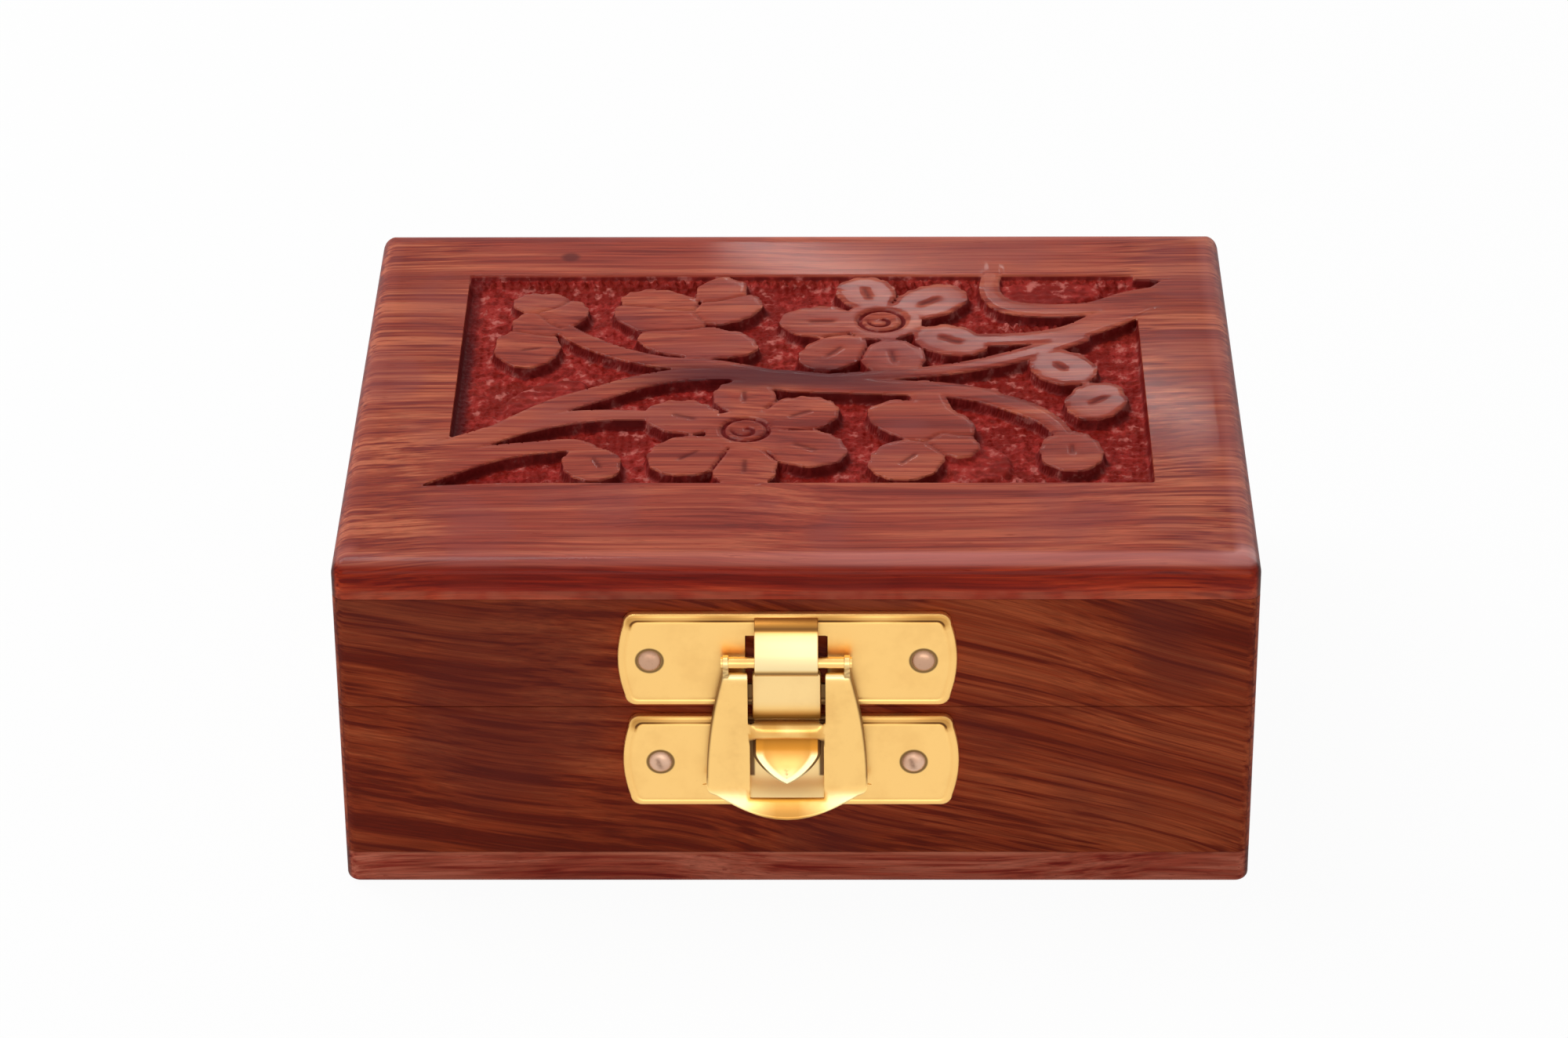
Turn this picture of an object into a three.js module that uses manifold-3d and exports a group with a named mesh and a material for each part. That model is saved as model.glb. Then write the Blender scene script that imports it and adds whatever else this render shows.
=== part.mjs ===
// Small carved hardwood box: a mitred base and lid, a carved top board, two butt hinges
// let into the back edge, and a pressed brass hasp that drops over a nose on the front.
// Millimetres, +Z up, +X to the right of the clasp side, +Y to the back.
// The origin is the centre of the underside.

import * as THREE from "three";
import { mergeVertices } from "three/addons/utils/BufferGeometryUtils.js";
import Module from "manifold-3d";

const wasm = await Module();
wasm.setup();

// Box carcass
const BOX_WIDTH = 102;
const BOX_DEPTH = 80;
const WALL = 7;
const BOTTOM_BOARD = 4.2;
const BASE_WALL_HEIGHT = 19.2;
const SEAM_GAP = 0.3;
const LID_WALL_HEIGHT = 13.7;
const TOP_BOARD = 4.6;
const CORNER_RADIUS = 1.5;
const SHARPEST_CORNER = 0.2;
const TOP_EDGE_RADIUS = 2.0;
const BOTTOM_EDGE_RADIUS = 0.9;
const LINING_THICKNESS = 1.2;
const LINING_CLEARANCE = 0.4;

// Carved field in the top board
const FIELD_MARGIN_LEFT = 11.3;
const FIELD_MARGIN_RIGHT = 10.8;
const FIELD_MARGIN_FRONT = 17.8;
const FIELD_MARGIN_BACK = 11.7;
const CARVING_DEPTH = 1.3;
const LOW_RELIEF_DROP = 0.6;
const INCISION_DEPTH = 0.45;
const INCISION_WIDTH = 0.5;

// Butt hinges in the back edge
const HINGE_LENGTH = 20;
const HINGE_FROM_END = 23;
const HINGE_INSET = 1.7;
const HINGE_BARREL_RADIUS = 1.25;
const HINGE_PIN_RADIUS = 0.55;
const HINGE_LEAF_MARGIN = 0.5;
const HINGE_LEAF_THICKNESS = 0.8;
const HINGE_KNUCKLE_GAP = 0.3;
const HINGE_CENTRE_KNUCKLE = 7.6;
const HINGE_NAIL_SPACING = 12;
const BEVEL_ANGLE = 50;

// Clasp plates on the front
const CLASP_X = -1.05;
const PLATE_WIDTH = 37.4;
const PLATE_HEIGHT = 11.7;
const PLATE_THICKNESS = 1.0;
const PLATE_END_BULGE = 0.7;
const PLATE_CORNER_RADIUS = 1.3;
const PLATE_RIM = 0.35;
const PLATE_RIM_DROP = 0.15;
const PLATE_TO_SEAM = 0.75;
const UPPER_NAIL_SPACING = 30.2;
const LOWER_NAIL_SPACING = 28.2;

// Strap of the upper plate, and the wire that it holds
const STRAP_WIDTH = 7.0;
const STRAP_THICKNESS = 0.55;
const STRAP_FOLD_REACH = 0.9;
const STRAP_FOLD_DROP = 0.7;
const STRAP_TAIL_WIDTH = 7.6;
const STRAP_TAIL_END = 0.6;
const STRAP_WINDOW_WIDTH = 9.1;
const STRAP_WINDOW_TOP = 2.6;
const STRAP_WINDOW_FOOT = 3.6;
const WIRE_RADIUS = 0.6;
const WIRE_HEIGHT = 6.4;
const WIRE_STANDOFF = 1.25;
const WIRE_OVERHANG = 0.2;

// Nose of the lower plate
const NOSE_WIDTH = 7.3;
const NOSE_THICKNESS = 0.6;
const NOSE_REACH = 2.9;
const NOSE_TOP = 1.8;
const NOSE_TIP = 7.3;
const NOSE_TIP_WIDTH = 1.2;
const NOSE_SIDE_TIP = 4.1;

// Hasp, with drops measured down from the wire
const HASP_TOP_WIDTH = 14.0;
const HASP_WIDTH = 17.9;
const HASP_SHEET = 0.7;
const HASP_FACE = 0.6;
const HASP_BACK_GAP = 0.3;
const HASP_TOP_DROP = 1.3;
const HASP_SHOULDER = 1.2;
const HASP_WIDEST_DROP = 15.9;
const HASP_CORNER = 0.9;
const HASP_LIP_DROP = 15.6;
const HASP_LIP_FLARE = 1.5;
const HASP_LENGTH = 19.2;
const HASP_UPPER_WINDOW = 8.6;
const HASP_LOWER_WINDOW = 8.2;
const HASP_BRIDGE_DROP = 7.7;
const HASP_BRIDGE = 2.2;
const HASP_BRIDGE_BULGE = 0.35;
const HASP_WINDOW_END = 17.2;
const HASP_EAR_RADIUS = 1.1;

// Nails and fits
const CLASP_NAIL = { head: 1.5, headHeight: 0.6, shank: 0.6, proud: 0.15 };
const HINGE_NAIL = { head: 0.75, headHeight: 0.4, shank: 0.35, proud: -0.05 };
const HINGE_NAIL_LENGTH = 6;
const NAIL_COVER = 1.4;
const NAIL_POINT = 1;
const NAIL_CROWN = 0.15;
const NAIL_CLEARANCE = 0.1;
const PIN_CLEARANCE = 0.08;
const POCKET_CLEARANCE = 0.3;
const FUSE = 0.05;
const BEYOND = 1;
const ROUND_SIDES = 20;
const FINE_SIDES = 12;

// Heights and places that follow from the sizes
const BASE_RIM = BOTTOM_BOARD + BASE_WALL_HEIGHT;
const LID_RIM = BASE_RIM + SEAM_GAP;
const SEAM = BASE_RIM + SEAM_GAP / 2;
const BOARD_BASE = LID_RIM + LID_WALL_HEIGHT;
const BOX_TOP = BOARD_BASE + TOP_BOARD;
const FRONT = -BOX_DEPTH / 2;
const BACK = BOX_DEPTH / 2;
const HINGE_Y = BACK - HINGE_INSET;

// Finishes
const finishes = {
  wood: { color: 0x7a3020, roughness: 0.45, metalness: 0 },
  carvedWood: { color: 0x8a3a2a, roughness: 0.55, metalness: 0 },
  brass: { color: 0xe3b04b, roughness: 0.25, metalness: 1 },
  nail: { color: 0xb89a8c, roughness: 0.4, metalness: 1 },
  velvet: { color: 0x6d1020, roughness: 0.95, metalness: 0 },
};

// A closed geometry with only positions, each shared vertex held once.
function closed(geometry) {
  const bare = geometry.clone();
  bare.deleteAttribute("normal");
  bare.deleteAttribute("uv");
  return mergeVertices(bare, 1e-4);
}

// Joins and cuts, on closed geometries.
function toSolid(geometry) {
  return new wasm.Manifold(
    new wasm.Mesh({
      numProp: 3,
      vertProperties: geometry.attributes.position.array,
      triVerts: new Uint32Array(geometry.index.array),
    }),
  );
}

function fromSolid(body) {
  const mesh = body.getMesh();
  const points = new Float32Array(mesh.numVert * 3);
  for (let i = 0; i < mesh.numVert; i += 1) {
    points.set(mesh.vertProperties.subarray(i * mesh.numProp, i * mesh.numProp + 3), i * 3);
  }
  return new THREE.BufferGeometry()
    .setAttribute("position", new THREE.BufferAttribute(points, 3))
    .setIndex(new THREE.BufferAttribute(mesh.triVerts, 1));
}

function joined(parts) {
  return fromSolid(parts.map(toSolid).reduce((all, part) => all.add(part)));
}

function cut(part, tools) {
  return fromSolid(tools.map(toSolid).reduce((left, tool) => left.subtract(tool), toSolid(part)));
}

function common(part, other) {
  return fromSolid(toSolid(part).intersect(toSolid(other)));
}

// A copy moved by the given distances, and a copy mirrored about a level plane.
function moved(part, x, y, z) {
  return part.clone().translate(x, y, z);
}

function flipped(part, level) {
  const turned = part.clone().translate(0, 0, -level).scale(1, 1, -1).translate(0, 0, level);
  const corners = turned.index.array;
  for (let i = 0; i < corners.length; i += 3) {
    [corners[i + 1], corners[i + 2]] = [corners[i + 2], corners[i + 1]];
  }
  return turned;
}

function named(name, part, finish) {
  const faces = part.toNonIndexed();
  faces.computeVertexNormals();
  const mesh = new THREE.Mesh(faces, new THREE.MeshStandardMaterial(finishes[finish]));
  mesh.name = name;
  return mesh;
}

function box(x0, x1, y0, y1, z0, z1) {
  const geometry = new THREE.BoxGeometry(x1 - x0, y1 - y0, z1 - z0);
  return closed(geometry.translate((x0 + x1) / 2, (y0 + y1) / 2, (z0 + z1) / 2));
}

// A cylinder with its axis along X, and one with its axis along Z.
function rodX(radius, x0, x1, y, z, sides = ROUND_SIDES) {
  const geometry = new THREE.CylinderGeometry(radius, radius, x1 - x0, sides);
  return closed(geometry.rotateZ(Math.PI / 2).translate((x0 + x1) / 2, y, z));
}

function rodZ(radius, x, y, z0, z1, sides = FINE_SIDES) {
  const geometry = new THREE.CylinderGeometry(radius, radius, z1 - z0, sides);
  return closed(geometry.rotateX(Math.PI / 2).translate(x, y, (z0 + z1) / 2));
}

// A plan outline extruded upwards.
function plan(shape, z0, z1, curveSegments = 6) {
  const settings = { depth: z1 - z0, bevelEnabled: false, curveSegments };
  return closed(new THREE.ExtrudeGeometry(shape, settings).translate(0, 0, z0));
}

// An outline seen from the front, x across and z up, extruded outwards from u0 to u1.
function frontal(shape, u0, u1, curveSegments = 10) {
  const settings = { depth: u1 - u0, bevelEnabled: false, curveSegments };
  const geometry = new THREE.ExtrudeGeometry(shape, settings).translate(0, 0, u0);
  return closed(geometry.rotateX(Math.PI / 2));
}

// An outline seen from the side, u outwards and z up, extruded across the given width.
function sideways(shape, width, curveSegments = 6) {
  const settings = { depth: width, bevelEnabled: false, curveSegments };
  const geometry = new THREE.ExtrudeGeometry(shape, settings).translate(0, 0, -width / 2);
  const axes = new THREE.Matrix4().makeBasis(
    new THREE.Vector3(0, -1, 0),
    new THREE.Vector3(0, 0, 1),
    new THREE.Vector3(-1, 0, 0),
  );
  return closed(geometry.applyMatrix4(axes));
}

function polygon(points) {
  return new THREE.Shape(points.map(([x, y]) => new THREE.Vector2(x, y)));
}

function rectangle(x0, x1, y0, y1) {
  return polygon([[x0, y0], [x1, y0], [x1, y1], [x0, y1]]);
}

// The outline of a band of even or changing width along a smooth curve through the points.
function band(points, widths, steps) {
  const curve = new THREE.CatmullRomCurve3(points.map(([x, y]) => new THREE.Vector3(x, y, 0)));
  const left = [];
  const right = [];
  for (let i = 0; i <= steps; i += 1) {
    const t = i / steps;
    const at = curve.getPoint(t);
    const along = curve.getTangent(t);
    const place = t * (widths.length - 1);
    const k = Math.min(Math.floor(place), widths.length - 2);
    const half = THREE.MathUtils.lerp(widths[k], widths[k + 1], place - k) / 2;
    left.push([at.x - along.y * half, at.y + along.x * half]);
    right.unshift([at.x + along.y * half, at.y - along.x * half]);
  }
  return polygon([...right, ...left]);
}

// A closed shell through rings of equally many points, with fans at both ends.
function loft(rings) {
  const count = rings[0].length;
  const points = rings.flat();
  const index = [];
  for (let r = 0; r + 1 < rings.length; r += 1) {
    for (let i = 0; i < count; i += 1) {
      const a = r * count + i;
      const b = r * count + ((i + 1) % count);
      index.push(a, b, b + count, a, b + count, a + count);
    }
  }
  const last = (rings.length - 1) * count;
  for (let i = 1; i + 1 < count; i += 1) {
    index.push(0, i + 1, i, last, last + i, last + i + 1);
  }
  const geometry = new THREE.BufferGeometry();
  geometry.setAttribute("position", new THREE.Float32BufferAttribute(points.flat(), 3));
  geometry.setIndex(index);
  return closed(geometry);
}

// Points round a rectangle with round corners, counterclockwise from above.
function roundedRing(width, depth, radius, z, steps = 4) {
  const corners = [[1, -1, -90], [1, 1, 0], [-1, 1, 90], [-1, -1, 180]];
  return corners.flatMap(([sx, sy, start]) =>
    Array.from({ length: steps + 1 }, (_, i) => {
      const angle = THREE.MathUtils.degToRad(start + (90 * i) / steps);
      const x = sx * (width / 2 - radius) + radius * Math.cos(angle);
      const y = sy * (depth / 2 - radius) + radius * Math.sin(angle);
      return [x, y, z];
    }),
  );
}

// A board of the box's plan, with one edge round: direction 1 rounds the top, -1 the underside.
function board(z0, z1, edgeRadius, direction) {
  const steps = 5;
  const flatFace = direction > 0 ? z0 : z1;
  const rings = [roundedRing(BOX_WIDTH, BOX_DEPTH, CORNER_RADIUS, flatFace)];
  for (let i = 0; i <= steps; i += 1) {
    const angle = ((Math.PI / 2) * i) / steps;
    const inset = edgeRadius * (1 - Math.cos(angle));
    const rise = edgeRadius * Math.sin(angle);
    const z = direction > 0 ? z1 - edgeRadius + rise : z0 + edgeRadius - rise;
    const radius = Math.max(CORNER_RADIUS - inset, SHARPEST_CORNER);
    rings.push(roundedRing(BOX_WIDTH - 2 * inset, BOX_DEPTH - 2 * inset, radius, z));
  }
  return loft(direction > 0 ? rings : rings.reverse());
}

// Walls with mitred ends, each with half of the round corners at its ends.
function mitredWall(length, z0, z1) {
  const half = length / 2;
  const r = CORNER_RADIUS;
  const shape = new THREE.Shape();
  shape.absarc(-half + r, r, r, (-3 * Math.PI) / 4, -Math.PI / 2, false);
  shape.absarc(half - r, r, r, -Math.PI / 2, -Math.PI / 4, false);
  shape.lineTo(half - WALL, WALL);
  shape.lineTo(-half + WALL, WALL);
  return plan(shape, z0, z1, 3);
}

function placedWalls(z0, z1) {
  const placed = (length, degrees, x, y) => {
    const angle = THREE.MathUtils.degToRad(degrees);
    return mitredWall(length, z0, z1).rotateZ(angle).translate(x, y, 0);
  };
  return {
    front: placed(BOX_WIDTH, 0, 0, FRONT),
    right: placed(BOX_DEPTH, 90, BOX_WIDTH / 2, 0),
    back: placed(BOX_WIDTH, 180, 0, BACK),
    left: placed(BOX_DEPTH, 270, -BOX_WIDTH / 2, 0),
  };
}

// A nail pointing down, with the seat of its head at height 0.
function nail({ head, headHeight, shank }, length) {
  const profile = [
    [0, -length],
    [shank, -length + NAIL_POINT],
    [shank, 0],
    [head, 0],
    [head, headHeight - NAIL_CROWN],
    [head * 0.8, headHeight - NAIL_CROWN / 3],
    [0, headHeight],
  ];
  const points = profile.map(([r, y]) => new THREE.Vector2(r, y));
  return closed(new THREE.LatheGeometry(points, FINE_SIDES).rotateX(Math.PI / 2));
}

// What is cut away for a nail: its shank, and its head with the way in above it.
function nailBore({ head, headHeight, shank }, length) {
  const hole = rodZ(shank + NAIL_CLEARANCE, 0, 0, -length - NAIL_CLEARANCE, FUSE);
  return joined([hole, rodZ(head + NAIL_CLEARANCE, 0, 0, 0, headHeight + BEYOND)]);
}

// Clasp nails: two through the upper plate into the lid, two through the lower into the base.
const claspNailSeat = PLATE_THICKNESS + CLASP_NAIL.proud - CLASP_NAIL.headHeight;
const claspNailLength = WALL + claspNailSeat - NAIL_COVER;
const upperPlateFoot = SEAM + PLATE_TO_SEAM;
const lowerPlateFoot = SEAM - PLATE_TO_SEAM - PLATE_HEIGHT;

function claspNails(onLid) {
  const spacing = onLid ? UPPER_NAIL_SPACING : LOWER_NAIL_SPACING;
  const z = (onLid ? upperPlateFoot : lowerPlateFoot) + PLATE_HEIGHT / 2;
  return [-1, 1].map((side) => ({
    hand: side < 0 ? "left" : "right",
    place: (part) => part.rotateX(Math.PI / 2).translate((side * spacing) / 2, -claspNailSeat, z),
  }));
}

function claspNailBores(onLid) {
  return claspNails(onLid).map(({ place }) => place(nailBore(CLASP_NAIL, claspNailLength)));
}

function onFront(part) {
  return moved(part, CLASP_X, FRONT, 0);
}

function frontWall(wall, onLid) {
  return cut(wall, claspNailBores(onLid).map(onFront));
}

// Hinges: what is made for the base is mirrored about the seam for the lid.
const hingeX = { left: -BOX_WIDTH / 2 + HINGE_FROM_END, right: BOX_WIDTH / 2 - HINGE_FROM_END };
const hingeClear = HINGE_BARREL_RADIUS + POCKET_CLEARANCE;
const leafEdge = BACK - WALL + HINGE_LEAF_MARGIN;
const leafFoot = BASE_RIM - HINGE_LEAF_THICKNESS;
const leafNailY = (leafEdge + HINGE_Y - hingeClear) / 2;

function onSide(part, onLid) {
  return onLid ? flipped(part, SEAM) : part;
}

function placedHingeNail(part, x, side, onLid) {
  const z = BASE_RIM + HINGE_NAIL.proud - HINGE_NAIL.headHeight;
  return onSide(part.translate(x + (side * HINGE_NAIL_SPACING) / 2, leafNailY, z), onLid);
}

function hingeNailBores(x, onLid) {
  return [-1, 1].map((side) => placedHingeNail(nailBore(HINGE_NAIL, HINGE_NAIL_LENGTH), x, side, onLid));
}

function hingePockets(x, onLid) {
  const half = HINGE_LENGTH / 2 + NAIL_CLEARANCE;
  const top = BASE_RIM + BEYOND;
  const leaf = box(x - half, x + half, leafEdge - NAIL_CLEARANCE, BACK + BEYOND, leafFoot, top);
  const barrel = box(x - half, x + half, HINGE_Y - hingeClear, BACK + BEYOND, SEAM - hingeClear, top);
  return [onSide(leaf, onLid), onSide(barrel, onLid)];
}

// The bevel along the back edge at the seam, out through both corners, on which the open lid rests.
function backBevel(onLid) {
  const slope = Math.tan(THREE.MathUtils.degToRad(BEVEL_ANGLE));
  const reach = HINGE_INSET + BEYOND;
  const wedge = polygon([[0, 0], [0, reach], [-reach, reach], [-reach, -reach * slope]]);
  const length = BOX_WIDTH + 2 * BEYOND;
  return onSide(moved(sideways(wedge, length), 0, HINGE_Y, SEAM), onLid);
}

function sideWall(wall, onLid) {
  return cut(wall, [backBevel(onLid)]);
}

function backWall(wall, onLid) {
  const pockets = Object.values(hingeX).flatMap((x) => [
    ...hingePockets(x, onLid),
    ...hingeNailBores(x, onLid),
  ]);
  return cut(wall, [backBevel(onLid), ...pockets]);
}

// A hinge leaf with its knuckles: the base leaf has the outer two, the lid leaf the centre one.
function hingeLeaf(x, onLid) {
  const half = HINGE_LENGTH / 2;
  const centre = HINGE_CENTRE_KNUCKLE / 2;
  const outer = centre + HINGE_KNUCKLE_GAP;
  const plateEnd = HINGE_Y - hingeClear;
  const own = onLid ? [[-centre, centre]] : [[-half, -outer], [outer, half]];
  const plate = box(x - half, x + half, leafEdge, plateEnd, leafFoot, BASE_RIM);
  const roots = own.map(([a, b]) => box(x + a, x + b, plateEnd - FUSE, HINGE_Y, leafFoot, BASE_RIM));
  const knuckles = own.map(([a, b]) => rodX(HINGE_BARREL_RADIUS, x + a, x + b, HINGE_Y, SEAM));
  const bore = rodX(HINGE_PIN_RADIUS + PIN_CLEARANCE, x - half - BEYOND, x + half + BEYOND, HINGE_Y, SEAM);
  const leaf = cut(joined([plate, ...roots, ...knuckles]), [bore]);
  return cut(onSide(leaf, onLid), hingeNailBores(x, onLid));
}

// Carved field: its edges, and the edges that the pattern below is drawn to.
const field = {
  left: -BOX_WIDTH / 2 + FIELD_MARGIN_LEFT,
  right: BOX_WIDTH / 2 - FIELD_MARGIN_RIGHT,
  front: FRONT + FIELD_MARGIN_FRONT,
  back: BACK - FIELD_MARGIN_BACK,
};
const DRAWN = { left: -39.7, right: 40.2, front: -22.2, back: 28.3 };

function fitted(part) {
  const scaleX = (field.right - field.left) / (DRAWN.right - DRAWN.left);
  const scaleY = (field.back - field.front) / (DRAWN.back - DRAWN.front);
  return moved(part, -DRAWN.left, -DRAWN.front, 0)
    .scale(scaleX, scaleY, 1)
    .translate(field.left, field.front, 0);
}

// Petals and buds are ellipses: x, y, half length, half width, angle of the length in degrees.
const petals = [
  [-31.9, 10, 4.8, 3.8, 95], [-28.3, 18.3, 3.9, 3.0, 60], [-30.6, 21.1, 3.6, 2.6, 170],
  [-31.0, 15.5, 3.4, 3.0, 90], [-11.9, 11.5, 7.2, 3.9, 168], [-16.4, 17.5, 5.8, 4.0, 155],
  [-16.6, 21.3, 4.8, 3.2, 165], [-9.3, 24.3, 3.5, 3.0, 70], [-8.6, 19.7, 4.6, 3.3, 35],
  [31.1, -14.9, 4.5, 3.6, 90], [34.4, -3.1, 4.6, 3.4, 70], [30.9, 5.1, 4.4, 3.7, 120],
  [-23.2, -17.8, 3.9, 3.3, 105], [14.2, -7.9, 6.6, 4.4, 150], [12.4, -16.8, 4.7, 4.1, 60],
  [17.4, -12.3, 4.2, 2.8, 120],
];
const lowPetals = [
  [20.4, -16.3, 4.6, 4.0, 115], [-29.2, -0.5, 5.6, 2.8, 35], [29.0, 24.5, 7.4, 3.2, 5],
];

// Flowers: the centre, then each petal's angle, distance, half length and half width.
const flowers = [
  {
    x: -5.9,
    y: -9.8,
    petals: [
      [92, 7.9, 4.0, 3.6], [31, 7.4, 4.5, 3.9], [329, 8.0, 4.8, 4.2],
      [270, 8.6, 4.6, 3.7], [223, 8.9, 4.8, 4.2], [157, 7.8, 4.5, 3.8],
    ],
  },
  {
    x: 9.8,
    y: 16.7,
    petals: [
      [182, 7.2, 4.8, 3.8], [234, 9.7, 4.8, 3.5], [278, 9.2, 4.3, 3.8],
      [329, 9.5, 4.6, 3.4], [40, 7.6, 4.9, 3.7], [104, 7.2, 4.2, 3.5],
    ],
  },
];
const FLOWER_HEART = 4.7;
const FLOWER_RING = 2.6;

// Stems: points of the middle line, and widths spread evenly along it.
const stems = [
  {
    points: [[-45, -17.9], [-38, -13.1], [-33, -9.7], [-28, -7.4], [-22, -6.3], [-15, -6.5]],
    widths: [5.5, 4, 3.4, 3.2, 2.4, 1.8],
  },
  {
    points: [[-36, -11.3], [-28, -4.3], [-23, -1.1], [-18, 1.9], [-13, 3.4], [-6, 3.6]],
    widths: [2, 3.4, 3.2, 2.9, 2.8, 2.6],
  },
  {
    points: [[-8, 3.8], [-1, 1.9], [5, 1.1], [11, 0.3], [17, -0.3], [22, -1.9]],
    widths: [2.8, 5, 4.2, 3.4, 3.2, 3.2],
  },
  { points: [[20, -1.1], [26, -4.7], [29, -7.9], [31.2, -12.9]], widths: [2.8, 3.2, 2.6, 1.8] },
  {
    points: [[-1, 2.7], [-10, 5.8], [-16, 6.5], [-21, 8.7], [-25, 11.7], [-29, 16.1]],
    widths: [2, 2.4, 2.6, 2.8, 2.8, 2.4],
  },
  {
    points: [[-48, -22.4], [-41, -18.3], [-35, -15.4], [-30, -14], [-25, -13.5], [-22.4, -15.9]],
    widths: [7, 5.6, 3.6, 2.7, 2.6, 2],
  },
  {
    points: [[2, 2.3], [13, 3.7], [19, 5.1], [24, 7.1], [28, 9.3], [33, 12.5]],
    widths: [2, 2.2, 2.4, 2.7, 2.8, 2.6],
  },
  {
    points: [[19, 11.7], [27, 12.3], [32, 13.7], [37, 17.5], [42, 22.1], [47, 25.1]],
    widths: [3, 2.8, 3.4, 4.4, 4.6, 5],
  },
  {
    points: [[46, 23.5], [40, 22.3], [35, 19.9], [29, 19.3], [24.6, 20.5], [22.8, 24.1], [23.4, 30.1]],
    widths: [5, 4, 3, 3.2, 3.2, 2.4, 2],
  },
  { points: [[14.6, 0.1], [15.2, -2.9], [16.2, -6.9]], widths: [3.6, 4, 4] },
];
const STEM_STEPS = 14;

function ellipse([x, y, halfLength, halfWidth, degrees], z0, z1) {
  const shape = new THREE.Shape();
  const angle = THREE.MathUtils.degToRad(degrees);
  shape.absellipse(x, y, halfLength, halfWidth, 0, 2 * Math.PI, false, angle);
  return plan(shape, z0, z1, ROUND_SIDES);
}

function flowerPetal(flower, [degrees, distance, halfLength, halfWidth]) {
  const angle = THREE.MathUtils.degToRad(degrees);
  const x = flower.x + distance * Math.cos(angle);
  const y = flower.y + distance * Math.sin(angle);
  return [x, y, halfLength, halfWidth, degrees];
}

// What is left standing in the carved field, from below its ground to above the board.
function relief() {
  const z0 = BOX_TOP - CARVING_DEPTH - BEYOND;
  const z1 = BOX_TOP + BEYOND;
  const lowTop = BOX_TOP - LOW_RELIEF_DROP;
  const parts = [
    ...stems.map(({ points, widths }) => plan(band(points, widths, STEM_STEPS), z0, z1)),
    ...petals.map((petal) => ellipse(petal, z0, z1)),
    ...lowPetals.map((petal) => ellipse(petal, z0, lowTop)),
    ...flowers.map(({ x, y }) => rodZ(FLOWER_HEART, x, y, z0, z1, ROUND_SIDES)),
    ...flowers.flatMap((flower) =>
      flower.petals.map((petal) => ellipse(flowerPetal(flower, petal), z0, z1)),
    ),
  ];
  return fitted(joined(parts));
}

// Knife lines: a ring round each flower's heart, and a vein along each of its petals.
function incisions() {
  const foot = BOX_TOP - INCISION_DEPTH;
  const top = BOX_TOP + BEYOND;
  const half = INCISION_WIDTH / 2;
  return flowers.flatMap((flower) => {
    const { x, y } = flower;
    const outer = rodZ(FLOWER_RING + half, x, y, foot, top, ROUND_SIDES);
    const inner = rodZ(FLOWER_RING - half, x, y, foot - BEYOND, top + BEYOND, ROUND_SIDES);
    const veins = flower.petals.map((petal) => {
      const [px, py, halfLength, , degrees] = flowerPetal(flower, petal);
      const vein = box(-halfLength / 2, halfLength / 3, -half, half, foot, top);
      return vein.rotateZ(THREE.MathUtils.degToRad(degrees)).translate(px, py, 0);
    });
    return [cut(outer, [inner]), ...veins].map(fitted);
  });
}

function carvedBoard() {
  const ground = BOX_TOP - CARVING_DEPTH;
  const hollow = box(field.left, field.right, field.front, field.back, ground, BOX_TOP + BEYOND / 2);
  const plain = board(BOARD_BASE, BOX_TOP, TOP_EDGE_RADIUS, 1);
  return cut(plain, [cut(hollow, [relief()]), ...incisions()]);
}

// Points round a clasp plate with bulging ends and round corners, drawn in by the inset.
function plateRing(inset, u) {
  const halfWidth = PLATE_WIDTH / 2 - inset;
  const halfHeight = PLATE_HEIGHT / 2 - inset;
  const radius = PLATE_CORNER_RADIUS - inset / 2;
  const shape = new THREE.Shape();
  const cornerX = halfWidth - PLATE_END_BULGE - radius;
  const cornerZ = halfHeight - radius;
  const endX = halfWidth + PLATE_END_BULGE;
  shape.absarc(-cornerX, -cornerZ, radius, Math.PI, 1.5 * Math.PI, false);
  shape.absarc(cornerX, -cornerZ, radius, -Math.PI / 2, 0, false);
  shape.quadraticCurveTo(endX, 0, cornerX + radius, cornerZ);
  shape.absarc(cornerX, cornerZ, radius, 0, Math.PI / 2, false);
  shape.absarc(-cornerX, cornerZ, radius, Math.PI / 2, Math.PI, false);
  shape.quadraticCurveTo(-endX, 0, -cornerX - radius, -cornerZ);
  const outline = shape.getPoints(4);
  outline.pop();
  return outline.map(({ x, y }) => [x, -u, y + PLATE_HEIGHT / 2]);
}

// A pressed plate: a flat field inside a bevelled rim, with its foot at height 0.
function claspPlate() {
  return loft([
    plateRing(0, 0),
    plateRing(0, PLATE_THICKNESS - PLATE_RIM_DROP),
    plateRing(PLATE_RIM, PLATE_THICKNESS),
  ]);
}

// The place of the wire that the hasp swings on: outwards from the front, and up.
const wire = { u: PLATE_THICKNESS + WIRE_STANDOFF, z: upperPlateFoot + WIRE_HEIGHT };
const eye = WIRE_RADIUS + PIN_CLEARANCE;
const plateFlat = PLATE_THICKNESS - FUSE;

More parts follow.
